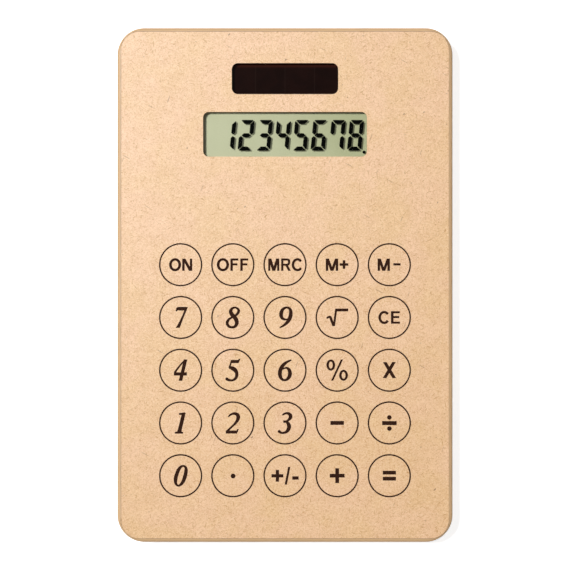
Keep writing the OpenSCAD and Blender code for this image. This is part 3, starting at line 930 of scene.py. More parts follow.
def rounded(low: np.ndarray, high: np.ndarray, corner: float, steps: int = 6) -> np.ndarray:
    """Works out a rectangle with round corners: a quarter circle about each inner corner.

    Args:
        low: Its lowest corner.
        high: Its highest corner.
        corner: The corners' radius.
        steps: How many points each corner has.

    Returns:
        The outline, anticlockwise, points by two.
    """
    start = np.radians([[0], [90], [180], [270]])
    angle = np.radians(np.linspace(0, 90, steps))[None, :] + start
    right, left = high[0] - corner, low[0] + corner
    rear, front = high[1] - corner, low[1] + corner
    x = np.array([[right], [left], [left], [right]])
    y = np.array([[rear], [rear], [front], [front]])
    spots = np.stack([x + corner * np.cos(angle), y + corner * np.sin(angle)], axis=2)
    return spots.reshape(-1, 2)


def corners(node: str) -> tuple[np.ndarray, np.ndarray]:
    """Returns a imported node's lowest and highest corners in millimetres."""
    low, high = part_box(node)
    return np.array(low) / MM, np.array(high) / MM


def middle_of(node: str) -> np.ndarray:
    """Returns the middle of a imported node's box, seen from above, in millimetres."""
    low, high = corners(node)
    return (low + high)[:2] / 2


def dress(finish: Finish, *nodes: str) -> None:
    """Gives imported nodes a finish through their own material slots.

    Args:
        finish: The finish.
        nodes: The nodes' names.
    """
    for name in nodes:
        for slot in frame["nodes"][name].material_slots:
            slot.material = finish.material()
    LOG.info("%s on %s", finish.name, ", ".join(nodes))


# ---- lettering --------------------------------------------------------------


THINNEST = 0.04  # narrowest that a pen stroke gets
ARC_STEPS = 15
OVAL_STEPS = 24


class Course(Enum):
    """How a pen stroke runs through its points."""

    STRAIGHT = "straight"
    CURVED = "curved"
    LOOP = "loop"


@dataclass(frozen=True)
class Stroke:
    """One pen stroke: its middle line and the pen's width along it.

    The width is measured across the stroke, or level where the pen is held level.
    """

    points: tuple[Point, ...]
    course: Course = Course.STRAIGHT
    level: bool = False

    def middle(self, steps: int = 10) -> np.ndarray:
        """Works out the middle line and width.

        A curved stroke is a Catmull-Rom spline: between two points it is the cubic
        whose slope at each is half the chord between that point's neighbours.

        Args:
            steps: How many stations lie between two points of a curve.

        Returns:
            Stations by x, y and width.
        """
        points = np.array(self.points, float)
        if self.course is Course.STRAIGHT:
            return points
        if self.course is Course.LOOP:
            reach = np.vstack([points[-1:], points, points[:2]])
        else:
            reach = np.vstack([2 * points[0] - points[1], points, 2 * points[-1] - points[-2]])
        spans = len(reach) - 3
        a, b, c, d = (reach[i : i + spans, None] for i in range(4))
        t = np.linspace(0, 1, steps, endpoint=False)[None, :, None]
        curve = b + (c - a) * t / 2 + (2 * a - 5 * b + 4 * c - d) * t**2 / 2
        curve = (curve + (3 * b - a - 3 * c + d) * t**3 / 2).reshape(-1, 3)
        return curve if self.course is Course.LOOP else np.vstack([curve, points[-1:]])

    def edges(self, spread: float = 0.0) -> tuple[np.ndarray, np.ndarray]:
        """Works out the stroke's two edges: the middle line moved half a width each way.

        Args:
            spread: What is added to the width where the ink runs.

        Returns:
            The left edge and the right edge, stations by two.
        """
        line = self.middle()
        spots, half = line[:, :2], (np.maximum(line[:, 2:], THINNEST) + spread) / 2
        if self.level:
            side = np.tile([[1.0, 0.0]], (len(spots), 1)) * -np.sign(spots[0, 1] - spots[-1, 1])
        else:
            if self.course is Course.LOOP:
                along = np.roll(spots, -1, axis=0) - np.roll(spots, 1, axis=0)
            else:
                along = np.gradient(spots, axis=0)
            along /= np.linalg.norm(along, axis=1, keepdims=True)
            side = np.stack([-along[:, 1], along[:, 0]], axis=1)
        return spots + side * half, spots - side * half


def line(x0: float, y0: float, x1: float, y1: float, pen: float = 0.76) -> Stroke:
    """A straight stroke cut square at both ends."""
    return Stroke(((x0, y0, pen), (x1, y1, pen)))


def slash(x0: float, y0: float, x1: float, y1: float, pen: float) -> Stroke:
    """A straight stroke cut level at both ends, with its width measured level."""
    return Stroke(((x0, y0, pen), (x1, y1, pen)), level=True)


def curve(*points: Point) -> Stroke:
    """A curved stroke through points of x, y and width."""
    return Stroke(points, Course.CURVED)


def leaning(*points: Point) -> Stroke:
    """A curved stroke through points of x, y and level width, cut level at both ends."""
    return Stroke(points, Course.CURVED, level=True)


def loop(*points: Point) -> Stroke:
    """A curved stroke that closes on itself."""
    return Stroke(points, Course.LOOP)


def oval(
    x: float, y: float, w: float, h: float, side: float, end: float, turn: tuple[float, ...] = ()
) -> Stroke:
    """A stroke round an ellipse, whose pen may be wider at the sides than at the ends.

    A point is the middle plus the half width times the angle's cosine and the half
    height times its sine. The pen goes from end to side with the cosine's square.

    Args:
        x: Middle of the ellipse across.
        y: Middle of the ellipse along.
        w: Width over the ink.
        h: Height over the ink.
        side: The pen's width at the sides.
        end: The pen's width at the top and bottom.
        turn: First and last angle of an open one, in degrees.

    Returns:
        The stroke.
    """
    if turn:
        a = np.radians(np.linspace(*turn, ARC_STEPS))
    else:
        a = np.radians(np.linspace(0, 360, OVAL_STEPS, endpoint=False))
    pen = end + (side - end) * np.cos(a) ** 2
    spots = zip(x + (w - side) / 2 * np.cos(a), y + (h - end) / 2 * np.sin(a), pen)
    return Stroke(tuple(spots), Course.CURVED if turn else Course.LOOP)


def dot(x: float, y: float, r: float) -> Stroke:
    """A round dot, drawn with a pen as wide as its radius."""
    return oval(x, y, 2 * r, 2 * r, r, r)


def cross(x: float, y: float, arm: float, pen: float) -> list[Stroke]:
    """A plus sign with arms of the given length."""
    return [line(x - arm, y, x + arm, y, pen), line(x, y - arm, x, y + arm, pen)]


@dataclass(frozen=True)
class PlainCapitals:
    """Upright capitals without serifs, drawn round the middle of a key."""

    half: float = 2.12
    stem: float = 0.76
    bar: float = 0.64

    def letter_o(self, x: float, w: float = 4.05) -> list[Stroke]:
        """An O with its middle at x."""
        return [oval(x, 0, w, 2 * self.half + 0.2, 0.86, 0.76)]

    def letter_c(self, x: float, w: float = 3.9) -> list[Stroke]:
        """A C with its middle at x."""
        return [oval(x, 0, w, 2 * self.half + 0.2, 0.8, 0.74, (38, 322))]

    def upright(self, x: float, pen: float) -> Stroke:
        """A stem of full height whose middle is at x."""
        return line(x, -self.half, x, self.half, pen)

    def letter_n(self, x0: float, x1: float) -> list[Stroke]:
        """An N from x0 to x1."""
        stems = [self.upright(x0 + 0.38, self.stem), self.upright(x1 - 0.36, 0.72)]
        return [*stems, slash(x0 + 0.5, self.half, x1 - 0.5, -self.half, 1.0)]

    def letter_m(self, x0: float, x1: float, pen: float = 0.76) -> list[Stroke]:
        """An M from x0 to x1.

        Args:
            x0: Its left edge.
            x1: Its right edge.
            pen: Width of its stems.

        Returns:
            Its strokes.
        """
        middle = (x0 + x1) / 2
        stems = [self.upright(x0 + pen / 2, pen), self.upright(x1 - pen / 2, pen)]
        down = slash(x0 + 0.55, self.half, middle - 0.02, -self.half, 0.9)
        return [*stems, down, slash(x1 - 0.55, self.half, middle + 0.02, -self.half, 0.9)]

    def letter_f(self, x: float) -> list[Stroke]:
        """An F whose left edge is at x."""
        bars = [line(x, 1.8, x + 2.7, 1.8, self.bar), line(x, 0.12, x + 2.4, 0.12, self.bar)]
        return [self.upright(x + 0.38, self.stem), *bars]

    def letter_e(self, x: float) -> list[Stroke]:
        """An E whose left edge is at x."""
        bars = ((1.8, 3.0), (0.14, 2.8), (-1.78, 3.1))
        return [self.upright(x + 0.4, 0.8), *(line(x, y, x + w, y, self.bar) for y, w in bars)]

    def letter_r(self, x: float) -> list[Stroke]:
        """An R whose left edge is at x.

        Args:
            x: Its left edge.

        Returns:
            Its strokes.
        """
        bowl = ((0.2, 1.8, 0.64), (1.9, 1.8, 0.64), (2.55, 1.6, 0.68), (2.7, 0.95, 0.7))
        bowl += ((2.5, 0.25, 0.66), (1.9, 0.0, 0.6), (0.2, 0.0, 0.6))
        leg = slash(x + 1.75, 0.0, x + 2.85, -self.half, 0.85)
        return [self.upright(x + 0.34, 0.68), curve(*((x + a, y, w) for a, y, w in bowl)), leg]


class ItalicNumerals:
    """Bold italic numerals with swelling strokes, from 0 to 9, round a key's middle."""

    STROKES: tuple[list[Stroke], ...] = (
        [
            loop((0.85, 3.38, 0.58), (0.05, 3.05, 0.85), (-0.72, 2.05, 1.1), (-1.35, 0.5, 1.18),
                 (-1.74, -1.1, 1.2), (-1.72, -2.4, 0.95), (-1.25, -3.25, 0.65),
                 (-0.6, -3.42, 0.6), (0.22, -2.88, 0.9), (0.95, -1.75, 1.12),
                 (1.52, -0.15, 1.2), (1.86, 1.5, 1.15), (1.82, 2.6, 0.92), (1.42, 3.2, 0.68)),
        ],
        [
            leaning((1.12, 3.5, 1.2), (0.78, 2.1, 1.22), (0.32, 0.2, 1.26), (-0.2, -1.9, 1.26),
                    (-0.5, -3.3, 1.5)),
            curve((-0.6, 3.12, 0.5), (0.3, 3.15, 0.66), (1.5, 3.36, 0.62)),
            curve((-2.05, -3.42, 0.45), (-0.6, -3.28, 0.74), (0.85, -3.42, 0.45)),
        ],
        [
            curve((-1.6, 2.12, 0.35), (-0.85, 2.78, 0.55), (0.05, 3.2, 0.72), (1.0, 3.18, 0.95),
                  (1.68, 2.72, 1.15), (1.86, 1.9, 1.24), (1.5, 0.8, 1.0), (0.72, -0.25, 0.74),
                  (-0.35, -1.3, 0.6), (-1.45, -2.35, 0.64), (-2.1, -3.0, 0.7)),
            line(-2.45, -3.12, 1.52, -3.12, 0.96),
            slash(1.32, -3.3, 1.8, -2.1, 0.5),
        ],
        [
            curve((-0.92, 2.72, 0.4), (-0.3, 3.12, 0.58), (0.5, 3.35, 0.7), (1.3, 3.2, 0.95),
                  (1.86, 2.6, 1.2), (1.84, 1.85, 1.15), (1.35, 1.18, 0.8), (0.7, 0.7, 0.6),
                  (0.1, 0.48, 0.55)),
            line(-0.62, 0.48, 0.5, 0.48, 0.72),
            curve((0.2, 0.5, 0.5), (0.75, 0.22, 0.9), (1.25, -0.55, 1.22), (1.4, -1.3, 1.3),
                  (1.18, -2.2, 1.2), (0.6, -2.95, 0.95), (-0.2, -3.36, 0.74),
                  (-1.2, -3.4, 0.66), (-1.9, -3.1, 0.7)),
            dot(-1.98, -2.95, 0.48),
        ],
        [
            slash(1.7, 3.72, -0.08, -3.66, 1.14),
            line(-2.35, -1.28, 2.15, -1.28, 1.02),
            curve((1.5, 3.5, 0.5), (0.1, 2.0, 0.48), (-1.0, 0.65, 0.54), (-2.05, -0.85, 0.66)),
        ],
        [
            line(-0.6, 3.0, 1.95, 3.0, 1.0),
            slash(1.78, 2.5, 2.3, 3.95, 0.5),
            leaning((-0.35, 3.4, 0.6), (-0.75, 2.2, 0.5), (-1.05, 1.3, 0.6), (-1.25, 0.7, 0.4)),
            curve((-1.35, 0.8, 0.45), (-0.5, 0.78, 1.15), (0.3, 0.42, 1.35), (0.98, -0.2, 1.25),
                  (1.36, -1.1, 1.05), (1.3, -2.1, 0.98), (0.8, -2.95, 0.85),
                  (-0.2, -3.48, 0.62), (-1.2, -3.42, 0.75), (-2.1, -3.1, 0.9)),
            dot(-2.05, -3.02, 0.48),
        ],
        [
            curve((2.2, 3.52, 0.4), (1.3, 3.15, 0.58), (0.3, 2.58, 0.85), (-0.6, 1.8, 1.1),
                  (-1.28, 0.8, 1.22), (-1.68, -0.3, 1.28), (-1.76, -1.4, 1.25),
                  (-1.5, -2.45, 1.05), (-0.9, -3.2, 0.8), (0.0, -3.42, 0.68),
                  (0.9, -2.98, 0.95), (1.52, -2.05, 1.22), (1.7, -0.9, 1.24), (1.38, 0.2, 1.05),
                  (0.7, 0.76, 0.68), (-0.1, 0.72, 0.5), (-0.8, 0.35, 0.35)),
        ],
        [
            curve((-1.5, 2.1, 0.3), (-1.3, 2.6, 0.6), (-1.0, 2.98, 1.05), (-0.3, 3.02, 1.16),
                  (1.0, 3.02, 1.16), (2.1, 3.02, 1.16)),
            leaning((2.05, 3.6, 0.8), (1.55, 2.2, 0.72), (0.98, 0.8, 0.7), (0.42, -0.5, 0.78),
                    (-0.2, -1.9, 0.94), (-0.62, -2.8, 1.1), (-1.02, -3.6, 1.32)),
        ],
        [
            loop((0.75, 3.42, 0.58), (-0.25, 3.08, 0.8), (-0.75, 2.15, 1.15), (-0.4, 1.2, 1.3),
                 (0.3, 0.4, 1.35), (1.05, -0.55, 1.35), (1.36, -1.75, 1.25), (0.9, -2.95, 0.95),
                 (-0.3, -3.4, 0.7), (-1.5, -2.95, 0.85), (-1.95, -1.85, 0.9),
                 (-1.45, -0.75, 0.78), (-0.55, -0.1, 0.62), (0.3, 0.4, 0.6), (1.35, 1.02, 0.75),
                 (2.02, 2.1, 0.88), (1.7, 3.02, 0.72)),
        ],
        [
            curve((1.3, -0.45, 0.3), (0.4, -0.7, 0.5), (-0.5, -0.55, 0.8), (-1.18, 0.1, 1.05),
                  (-1.35, 1.1, 1.25), (-1.1, 2.2, 1.12), (-0.45, 3.05, 0.85),
                  (0.55, 3.45, 0.62), (1.45, 3.15, 0.78), (1.93, 2.4, 1.0), (2.0, 1.2, 1.2),
                  (1.75, 0.0, 1.28), (1.2, -1.1, 1.15), (0.4, -2.05, 0.95), (-0.6, -2.85, 0.66),
                  (-1.3, -3.25, 0.52), (-1.85, -3.45, 0.4)),
        ],
    )


# ---- sub-assemblies ---------------------------------------------------------


@dataclass
class KeyField:
    """The 25 keys: kraft-topped caps, each with a printed ring and legend.

    The ink starts a little below the cap's top and stands a little above it. Each
    stroke is a layer higher than the last, and its legend's pen has run by the spread.
    """

    ring_inner: float = 6.95
    ring_outer: float = 7.37
    ink: float = 0.012
    sunk: float = 0.004
    layer: float = 0.001
    ripple: float = 0.0003
    spread: float = 0.1
    rows: tuple[tuple[str, ...], ...] = (
        ("on", "off", "mrc", "m_plus", "m_minus"),
        ("7", "8", "9", "root", "ce"),
        ("4", "5", "6", "percent", "multiply"),
        ("1", "2", "3", "minus", "divide"),
        ("0", "point", "sign", "plus", "equals"),
    )
    capitals: PlainCapitals = field(default_factory=PlainCapitals)

    def legend(self, key: str) -> list[Stroke]:
        """Draws one key's legend.

        Args:
            key: The key's short name.

        Returns:
            The legend's strokes, in millimetres from the key's middle.
        """
        if key.isdigit():
            return ItalicNumerals.STROKES[int(key)]
        abc = self.capitals
        tick = [curve((-3.65, -0.3, 0.4), (-3.2, 0.0, 0.6), (-2.5, 0.42, 0.5))]
        tick += [slash(-2.5, 0.5, -1.2, -3.0, 0.85), slash(-1.12, -3.0, -0.34, 2.9, 0.64)]
        legends = {
            "on": abc.letter_o(-1.92) + abc.letter_n(0.58, 3.95),
            "off": abc.letter_o(-3.42, 4.15) + abc.letter_f(-0.8) + abc.letter_f(2.62),
            "mrc": abc.letter_m(-5.75, -2.02, 0.64) + abc.letter_r(-1.28) + abc.letter_c(4.3),
            "m_plus": abc.letter_m(-3.88, 0.3) + cross(2.36, 0.07, 1.48, 0.78),
            "m_minus": abc.letter_m(-4.0, 0.15) + [line(1.35, 0.12, 3.9, 0.12, 0.68)],
            "root": tick + [line(-0.62, 2.58, 3.8, 2.58, 0.9)],
            "ce": abc.letter_c(-1.75, 3.95) + abc.letter_e(0.6),
            "percent": [
                oval(-2.2, 1.78, 2.95, 3.75, 0.78, 0.64),
                oval(2.2, -1.74, 2.95, 3.7, 0.78, 0.64),
                slash(-1.74, -3.6, 1.66, 3.7, 0.66),
            ],
            "multiply": [slash(-1.58, 2.78, 1.72, -2.75, 1.2), slash(1.6, 2.82, -1.65, -2.72, 1.2)],
            "minus": [line(-2.35, 0.02, 2.35, 0.02, 1.26)],
            "divide": [line(-2.5, -0.04, 2.52, -0.04, 1.3)]
            + [dot(0, 1.92, 0.74), dot(0.02, -1.92, 0.74)],
            "point": [dot(0.1, -0.1, 0.78)],
            "sign": cross(-2.62, -0.03, 2.05, 1.04)
            + [slash(0.28, -3.05, 1.46, 3.05, 0.68), line(2.5, -0.78, 4.7, -0.78, 1.08)],
            "plus": cross(0, 0.02, 2.56, 1.2),
            "equals": [line(-2.28, 1.06, 2.28, 1.06, 1.2), line(-2.28, -1.02, 2.28, -1.02, 1.2)],
        }
        return legends[key]

    def ring(self) -> Stroke:
        """The printed ring near the rim of a key: a circle of constant width."""
        width = self.ring_outer - self.ring_inner
        return oval(0, 0, 2 * self.ring_outer, 2 * self.ring_outer, width, width)

    def build(self) -> None:
        """Prints every key and gives the caps their finish."""
        keys = [key for names in self.rows for key in names]
        for key in keys:
            self._print(key)
        dress(KEY_TOP, *(f"key_{key}" for key in keys))

    def _print(self, key: str) -> None:
        """Prints one key.

        Each stroke's top is a hair above the last and rises and falls once along the
        stroke as a sine, so where strokes cross, or one crosses itself, none coincide.

        Args:
            key: The key's short name.
        """
        middle, top = middle_of(f"key_{key}"), corners(f"key_{key}")[1][2]
        low, printed = top - self.sunk, Surface()
        for order, stroke in enumerate([self.ring(), *self.legend(key)]):
            left, right = stroke.edges(self.spread if order else 0.0)
            wave = np.sin(np.linspace(0, 2 * np.pi, len(left), endpoint=False))
            high = top + self.ink + self.layer * order + self.ripple * wave
            closed = stroke.course is Course.LOOP
            printed.ribbon(left + middle, right + middle, low, high, closed)
        printed.piece(f"legend_{key}", PRINT, f"key_{key}")


@dataclass
class KeyMat:
    """The silicone mat on the circuit board, with a dome and a pill under each key.

    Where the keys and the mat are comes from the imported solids. Four screw posts pass
    the mat, each in the middle of four keys, after the given rows and columns.
    """

    rows: tuple[tuple[str, ...], ...]
    sheet: float = 0.5
    corner: float = 1.0
    foot_r: float = 4.8
    shoulder_r: float = 3.0
    top_r: float = 2.6
    lean_in: float = 0.1
    wall: float = 0.5
    rim: float = 0.4
    crown: float = 0.6
    pill_r: float = 1.6
    pill_set: float = 0.3
    pill_chamfer: float = 0.1
    post_hole_r: float = 2.2
    posts_after: tuple[int, int] = (0, 3)
    clear: float = 0.02
    hole_sides: int = 48
    dome_sides: int = 40
    pill_sides: int = 32
    stations: int = 7

    def build(self) -> None:
        """Makes the sheet with its holes, then the domes and pills."""
        low, high = corners("keypad_membrane")
        middles = np.array([[middle_of(f"key_{key}") for key in names] for names in self.rows])
        near = self.posts_after
        posts = [(middles[r, c] + middles[r + 1, c + 1]) / 2 for r in near for c in near]
        inner, sides = self.foot_r - self.wall, self.hole_sides
        holes = [circle(middle, inner, sides, True) for middle in middles.reshape(-1, 2)]
        holes += [circle(post, self.post_hole_r, sides, True) for post in posts]
        mat = Surface()
        mat.plate([rounded(low, high, self.corner), *holes], low[2], low[2] + self.sheet)
        self._stands_in(mat.piece("silicone_sheet", SILICONE, "case"))
        for key in (key for names in self.rows for key in names):
            joint = next(j for j in frame["joints"] if j["name"] == f"key_{key}_press")
            travel = joint["range_m"][1] / MM
            self._dome(key, low[2] + self.sheet, high[2])
            self._pill(key, low[2] + travel + self.clear, high[2] - self.crown + self.pill_set)

    @staticmethod
    def _stands_in(piece: bpy.types.Object) -> None:
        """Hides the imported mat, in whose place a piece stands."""
        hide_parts("keypad_membrane")

    def _flank(self, low_r: float, high_r: float, low: float, high: float) -> np.ndarray:
        """Works out one side of a dome's wall.

        The radius changes evenly from low_r to high_r, and the height rises from low to
        high with the sine of a quarter turn.

        Args:
            low_r: Radius at the foot.
            high_r: Radius at the shoulder.
            low: Level of the foot.
            high: Level of the shoulder.

        Returns:
            Radius and height from the foot up.
        """
        along = np.linspace(0, 1, self.stations)[:, None]
        rise = np.sin(along * np.pi / 2)
        return np.hstack([low_r + (high_r - low_r) * along, low + (high - low) * rise])

    def _dome(self, key: str, foot: float, top: float) -> None:
        """Makes one dome under a key.

        Args:
            key: The key's short name.
            foot: Level of the sheet's upper side.
            top: Level of the dome's top.
        """
        middle, under = middle_of(f"key_{key}"), top - self.crown
        outside = self._flank(self.foot_r, self.shoulder_r, foot, top - self.rim)
        inside = self._flank(self.foot_r - self.wall, self.top_r - self.lean_in, foot, under)
        end = [[self.top_r, top - self.rim], [self.top_r, top], [AXIS_R, top]]
        shell = Surface()
        profile = np.vstack([[[AXIS_R, under]], inside[::-1], outside, end])
        shell.turned(profile, tuple(middle), self.dome_sides)
        dome = shell.piece(f"key_dome_{key}", SILICONE, "case")
        self._stands_in(dome)
        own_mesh(dome)

    def _pill(self, key: str, low: float, high: float) -> None:
        """Makes the carbon pill that goes down with a key.

        Args:
            key: The key's short name.
            low: Level of its underside.
            high: Level of its top.
        """
        r, cut = self.pill_r, self.pill_chamfer
        section = [[AXIS_R, low], [r - cut, low], [r, low + cut], [r, high], [AXIS_R, high]]
        pill = Surface()
        pill.turned(np.array(section), tuple(middle_of(f"key_{key}")), self.pill_sides)
        pill.piece(f"key_pill_{key}", PILL, f"key_{key}")


@dataclass
class Display:
    """The display's layers and the digits that it shows.

    The last digit ends at the right, and the film of the lit segments ends at the level.
    """

    digits: str = "12345678"
    right: float = 26.85
    middle_y: float = 51.75
    pitch: float = 6.3
    width: float = 4.95
    height: float = 10.6
    bar: float = 1.42
    chamfer: float = 0.65
    lean: float = 0.1
    dot_x: float = 27.3
    dot_y: float = 45.95
    dot_r: float = 0.53
    dot_sides: int = 32
    level: float = 8.42
    film: float = 0.012
    gap: float = 0.27
    clipped: float = 0.3
    air: float = 0.01

    LIT = {
        "1": "bc", "2": "abged", "3": "abgcd", "4": "fgbc", "5": "afgcd",
        "6": "afedcg", "7": "fabc", "8": "abcdefg",
    }  # fmt: skip

    def segments(self) -> dict[str, np.ndarray]:
        """Works out the seven segments' outlines in an upright box.

        Every end is cut along the diagonal through its corner, moved back by half the
        gap, and the digit's outer corners are cut off by the chamfer.

        Returns:
            Outlines by the usual letters, anticlockwise, from the box's lower left.
        """
        w, h, t, c = self.width, self.height, self.bar, self.chamfer
        s, m, k = self.gap / math.sqrt(2), self.height / 2, self.bar / 2
        near, far = (c + s) / 2, (c - s) / 2
        top = [(near, h - far), (t + s, h - t), (w - t - s, h - t)]
        top += [(w - near, h - far), (w - c, h), (c, h)]
        left = [(0, h - c), (0, m + k + s), (k, m + s)]
        left += [(t, m + k + s), (t, h - t - s), (far, h - near)]
        bridge = [(k + s, m), (t + s, m - k), (w - t - s, m - k)]
        bridge += [(w - k - s, m), (w - t - s, m + k), (t + s, m + k)]
        outlines = {"a": np.array(top), "f": np.array(left), "g": np.array(bridge)}
        across, down = np.array([[-1, 1]]), np.array([[1, -1]])
        outlines["b"] = (outlines["f"] * across + [w, 0])[::-1]
        outlines["d"] = (outlines["a"] * down + [0, h])[::-1]
        outlines["e"] = (outlines["f"] * down + [0, h])[::-1]
        outlines["c"] = (outlines["e"] * across + [w, 0])[::-1]
        return outlines

    def build(self) -> None:
        """Lays out the lit segments and gives the layers their finishes."""
        outlines, shown = self.segments(), Surface()
        for place, digit in enumerate(self.digits):
            start = self.right - self.width - (len(self.digits) - 1 - place) * self.pitch
            for letter in self.LIT[digit]:
                shape = outlines[letter] - [0, self.height / 2]
                shape = shape + np.stack([shape[:, 1] * self.lean, 0 * shape[:, 1]], axis=1)
                shown.prism(shape + [start, self.middle_y], self.level - self.film, self.level)
        point = circle(np.array([self.dot_x, self.dot_y]), self.dot_r, self.dot_sides)
        shown.prism(point, self.level - self.film, self.level)
        shown.piece("display_digits", SEGMENTS, "case")
        self._glass()
        dress(BACKING, "lcd_reflector")
        dress(FOAM, "lcd_foam_pad")
        dress(ZEBRA, "zebra_strip")

    def _glass(self) -> None:
        """Makes the bonded glasses and film one stepped slab, just clear of the reflector."""
        layers = ("lcd_rear_glass", "lcd_front_glass", "lcd_polariser")
        steps = []
        for layer in layers:
            low, high = corners(layer)
            outline = rounded(low, high, self.clipped)
            steps += [(outline, low[2]), (outline, high[2])]
        steps[0] = (steps[0][0], steps[0][1] + self.air)
        glass = Surface()
        glass.tiers(steps)
        made = glass.piece("display_glass", GLASS, "case")
        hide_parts(*layers)


@dataclass
class Shells:
    """The two shells, the board face bonded to the upper one, and the solar cell."""

    def build(self) -> None:
        """Gives the shells, the face card and what shows in its windows their finishes."""
        dress(CASE, "front_case", "back_case", "battery_door")
        dress(BOARD, "face_card")
        dress(GLUE, "card_adhesive")
        dress(CELL, "solar_cell")


@dataclass
class Underside:
    """What closes and carries the case: rubber feet, screws and the button cell.

    The foot's dish is given by radius and height over the rim. The cell's marks stand
    proud of its face, and each is a layer deeper than the last.
    """

    foot_r: float = 4.0
    foot_rim_r: float = 0.55
    foot_dish: tuple[tuple[float, float], ...] = (
        (AXIS_R, 0.18), (1.4, 0.15), (2.4, 0.06), (2.9, 0.01),
    )  # fmt: skip
    plus_arm: float = 1.6
    plus_pen: float = 0.5
    ring_r: float = 4.64
    ring_pen: float = 0.12
    proud: float = 0.006
    layer: float = 0.0006
    sunk: float = 0.01

    def foot_profile(self, low: float, high: float) -> np.ndarray:
        """A foot's section: a shallow dish inside a rolled rim, then straight sides.

        Args:
            low: Level of the rim that it stands on.
            high: Level of its seat in the case.

        Returns:
            Radius and height from the axis below, round the outside, to the axis above.
        """
        roll, rim_r = np.radians(np.linspace(-90, 0, 9)), self.foot_rim_r
        out, up = rim_r * np.cos(roll), rim_r * np.sin(roll)
        rim = np.column_stack([self.foot_r - rim_r + out, low + rim_r + up])
        dish = np.array(self.foot_dish) + [0.0, low]
        return np.vstack([dish, rim, [[self.foot_r, high], [AXIS_R, high]]])

    def build(self) -> None:
        """Makes the feet and the cell's marks, and gives the metal parts their finish."""
        for name in ("front_left", "front_right", "rear_left", "rear_right"):
            low, high = corners(f"foot_{name}")
            foot = Surface()
            foot.turned(self.foot_profile(low[2], high[2]), tuple(middle_of(f"foot_{name}")))
            made = foot.piece(f"rubber_foot_{name}", RUBBER, "case")
            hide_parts(f"foot_{name}")
        dress(STEEL, "case_screws", "board_screws", "battery_cell")
        dress(STEEL, "battery_contact_plus", "battery_contact_minus")
        self._cell_marks()

    def _cell_marks(self) -> None:
        """Stamps a plus and a fine ring into the face of the button cell."""
        face, middle = corners("battery_cell")[0][2], middle_of("battery_cell")
        across, marks = 2 * self.ring_r, Surface()
        strokes = cross(0, 0, self.plus_arm, self.plus_pen)
        strokes.append(oval(0, 0, across, across, self.ring_pen, self.ring_pen))
        for order, stroke in enumerate(strokes):
            left, right = stroke.edges()
            low, high = face - self.proud - self.layer * order, face + self.sunk
            marks.ribbon(left + middle, right + middle, low, high, stroke.course is Course.LOOP)
        marks.piece("cell_marks", MARK, "case")


@dataclass
class Internals:
    """The circuit board and what is soldered to it."""

    def build(self) -> None:
        """Gives the board, its parts and the wires their finishes."""
        dress(CIRCUIT, "pcb")
        dress(EPOXY, "chip_blob")
        dress(CHIP, "capacitors", "resistors")
        dress(RED, "solar_wire_plus")
        dress(BLACK, "solar_wire_minus")


@dataclass(frozen=True)
class Lamp:
    """A soft area lamp that points at the middle of the table.

    Its place is a tilt off the upright and a turn from +X, both in degrees, and a
    distance in metres. Its light is the share of full daylight that it gives there.
    A lamp for sheen alone shows in reflections and doesn't light what is matt.
    """

    name: str
    tilt: float
    turn: float
    distance: float
    size: float
    share: float
    sheen_alone: bool = False

    def hang(self) -> None:
        """Adds the lamp, with the power that gives its share at its distance."""
        tilt, turn = math.radians(self.tilt), math.radians(self.turn)
        away = (math.sin(tilt) * math.cos(turn), math.sin(tilt) * math.sin(turn), math.cos(tilt))
        data = bpy.data.lights.new(self.name, "AREA")
        data.shape, data.size = "DISK", self.size
        data.energy = self.share * (math.pi * self.distance) ** 2 / math.cos(tilt)
        lamp = added(self.name, data)
        lamp.location = [self.distance * part for part in away]
        lamp.rotation_euler = (0.0, tilt, turn)
        lamp.visible_diffuse = not self.sheen_alone


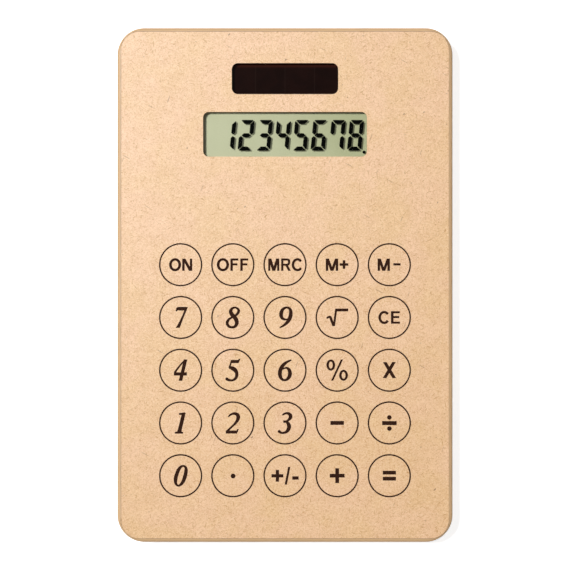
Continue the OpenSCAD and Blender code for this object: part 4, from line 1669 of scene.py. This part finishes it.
@dataclass
class Studio:
    """A pale floor, two soft lamps, a white fill and the camera.

    The floor's reach and the camera's height over the face are in metres.
    """

    lamps: tuple[Lamp, ...] = (
        Lamp("key_lamp", 27.0, 153.0, distance=4.0, size=0.8, share=0.85),
        Lamp("sheen_lamp", 17.0, 132.0, distance=1.2, size=0.8, share=0.5, sheen_alone=True),
    )
    fill: float = 0.12
    floor_reach: float = 6.0
    floor_tone: float = 0.8
    floor_glow: float = 0.8
    camera_height: float = 0.62
    lens: float = 113.5
    sensor: float = 36.0

    def build(self) -> None:
        """Sets up the floor, the lamps, the fill and the camera."""
        self._floor()
        for lamp in self.lamps:
            lamp.hang()
        self._surroundings()
        self._camera()
        bpy.context.scene.view_settings.view_transform = "Standard"

    @staticmethod
    def _seen(graph: Graph) -> Socket:
        """Tells rays from the camera, a reflection or a clear piece from the others.

        Args:
            graph: The graph of a material or of the world.

        Returns:
            The socket of 1 or 0.
        """
        path = graph.add("LightPath").outputs
        direct = graph.math("MAXIMUM", path["Is Camera Ray"], path["Is Glossy Ray"])
        return graph.math("MAXIMUM", direct, path["Is Transmission Ray"])

    def _floor(self) -> None:
        """Makes a wide pale floor that keeps the shadow and still looks white."""
        reach, shade = self.floor_reach, self.floor_tone
        mesh = bpy.data.meshes.new("studio_floor")
        spots = [(-reach, -reach, 0), (reach, -reach, 0), (reach, reach, 0), (-reach, reach, 0)]
        mesh.from_pydata(spots, [], [(0, 1, 2, 3)])
        material = bpy.data.materials.new("floor_finish")
        material.use_nodes = True
        graph = Graph(material.node_tree)
        surface = material.node_tree.nodes["Principled BSDF"]
        surface.inputs["Base Color"].default_value = (shade, shade, shade, 1.0)
        surface.inputs["Roughness"].default_value = 0.9
        surface.inputs["Specular IOR Level"].default_value = 0.0
        glow = graph.times(self._seen(graph), self.floor_glow)
        surface.inputs["Emission Color"].default_value = WHITE
        graph.tree.links.new(glow, surface.inputs["Emission Strength"])
        mesh.materials.append(material)
        floor = added("studio_floor", mesh)

    def _surroundings(self) -> None:
        """Fills from all round, and shows white to the camera and in reflections."""
        world = bpy.data.worlds.new("studio_world")
        world.use_nodes = True
        world.node_tree.nodes.clear()
        graph = Graph(world.node_tree)
        span = {"Value": self._seen(graph), "To Min": self.fill, "To Max": 1.0}
        strength = graph.add("MapRange", span).outputs[0]
        light = graph.add("Background", {"Color": WHITE, "Strength": strength})
        graph.add("OutputWorld", {"Surface": light.outputs[0]})
        bpy.context.scene.world = world

    def _camera(self) -> None:
        """Looks straight down on the face, with the far end of the case at the top."""
        data = bpy.data.cameras.new("camera")
        data.lens, data.sensor_width = self.lens, self.sensor
        data.clip_start, data.clip_end = 0.01, 20.0
        camera = added("camera", data)
        camera.location = (0.0, 0.0, self.camera_height + CAD_BOX[1][2])
        bpy.context.scene.camera = camera


def main() -> None:
    """Builds the scene piece by piece."""
    logging.basicConfig(level=logging.INFO, format="%(name)s: %(message)s")
    Studio().build()
    keys = KeyField()
    for part in (Shells(), keys, KeyMat(keys.rows), Display(), Underside(), Internals()):
        LOG.info("building %s", type(part).__name__)
        part.build()


if __name__ == "__main__":
    main()
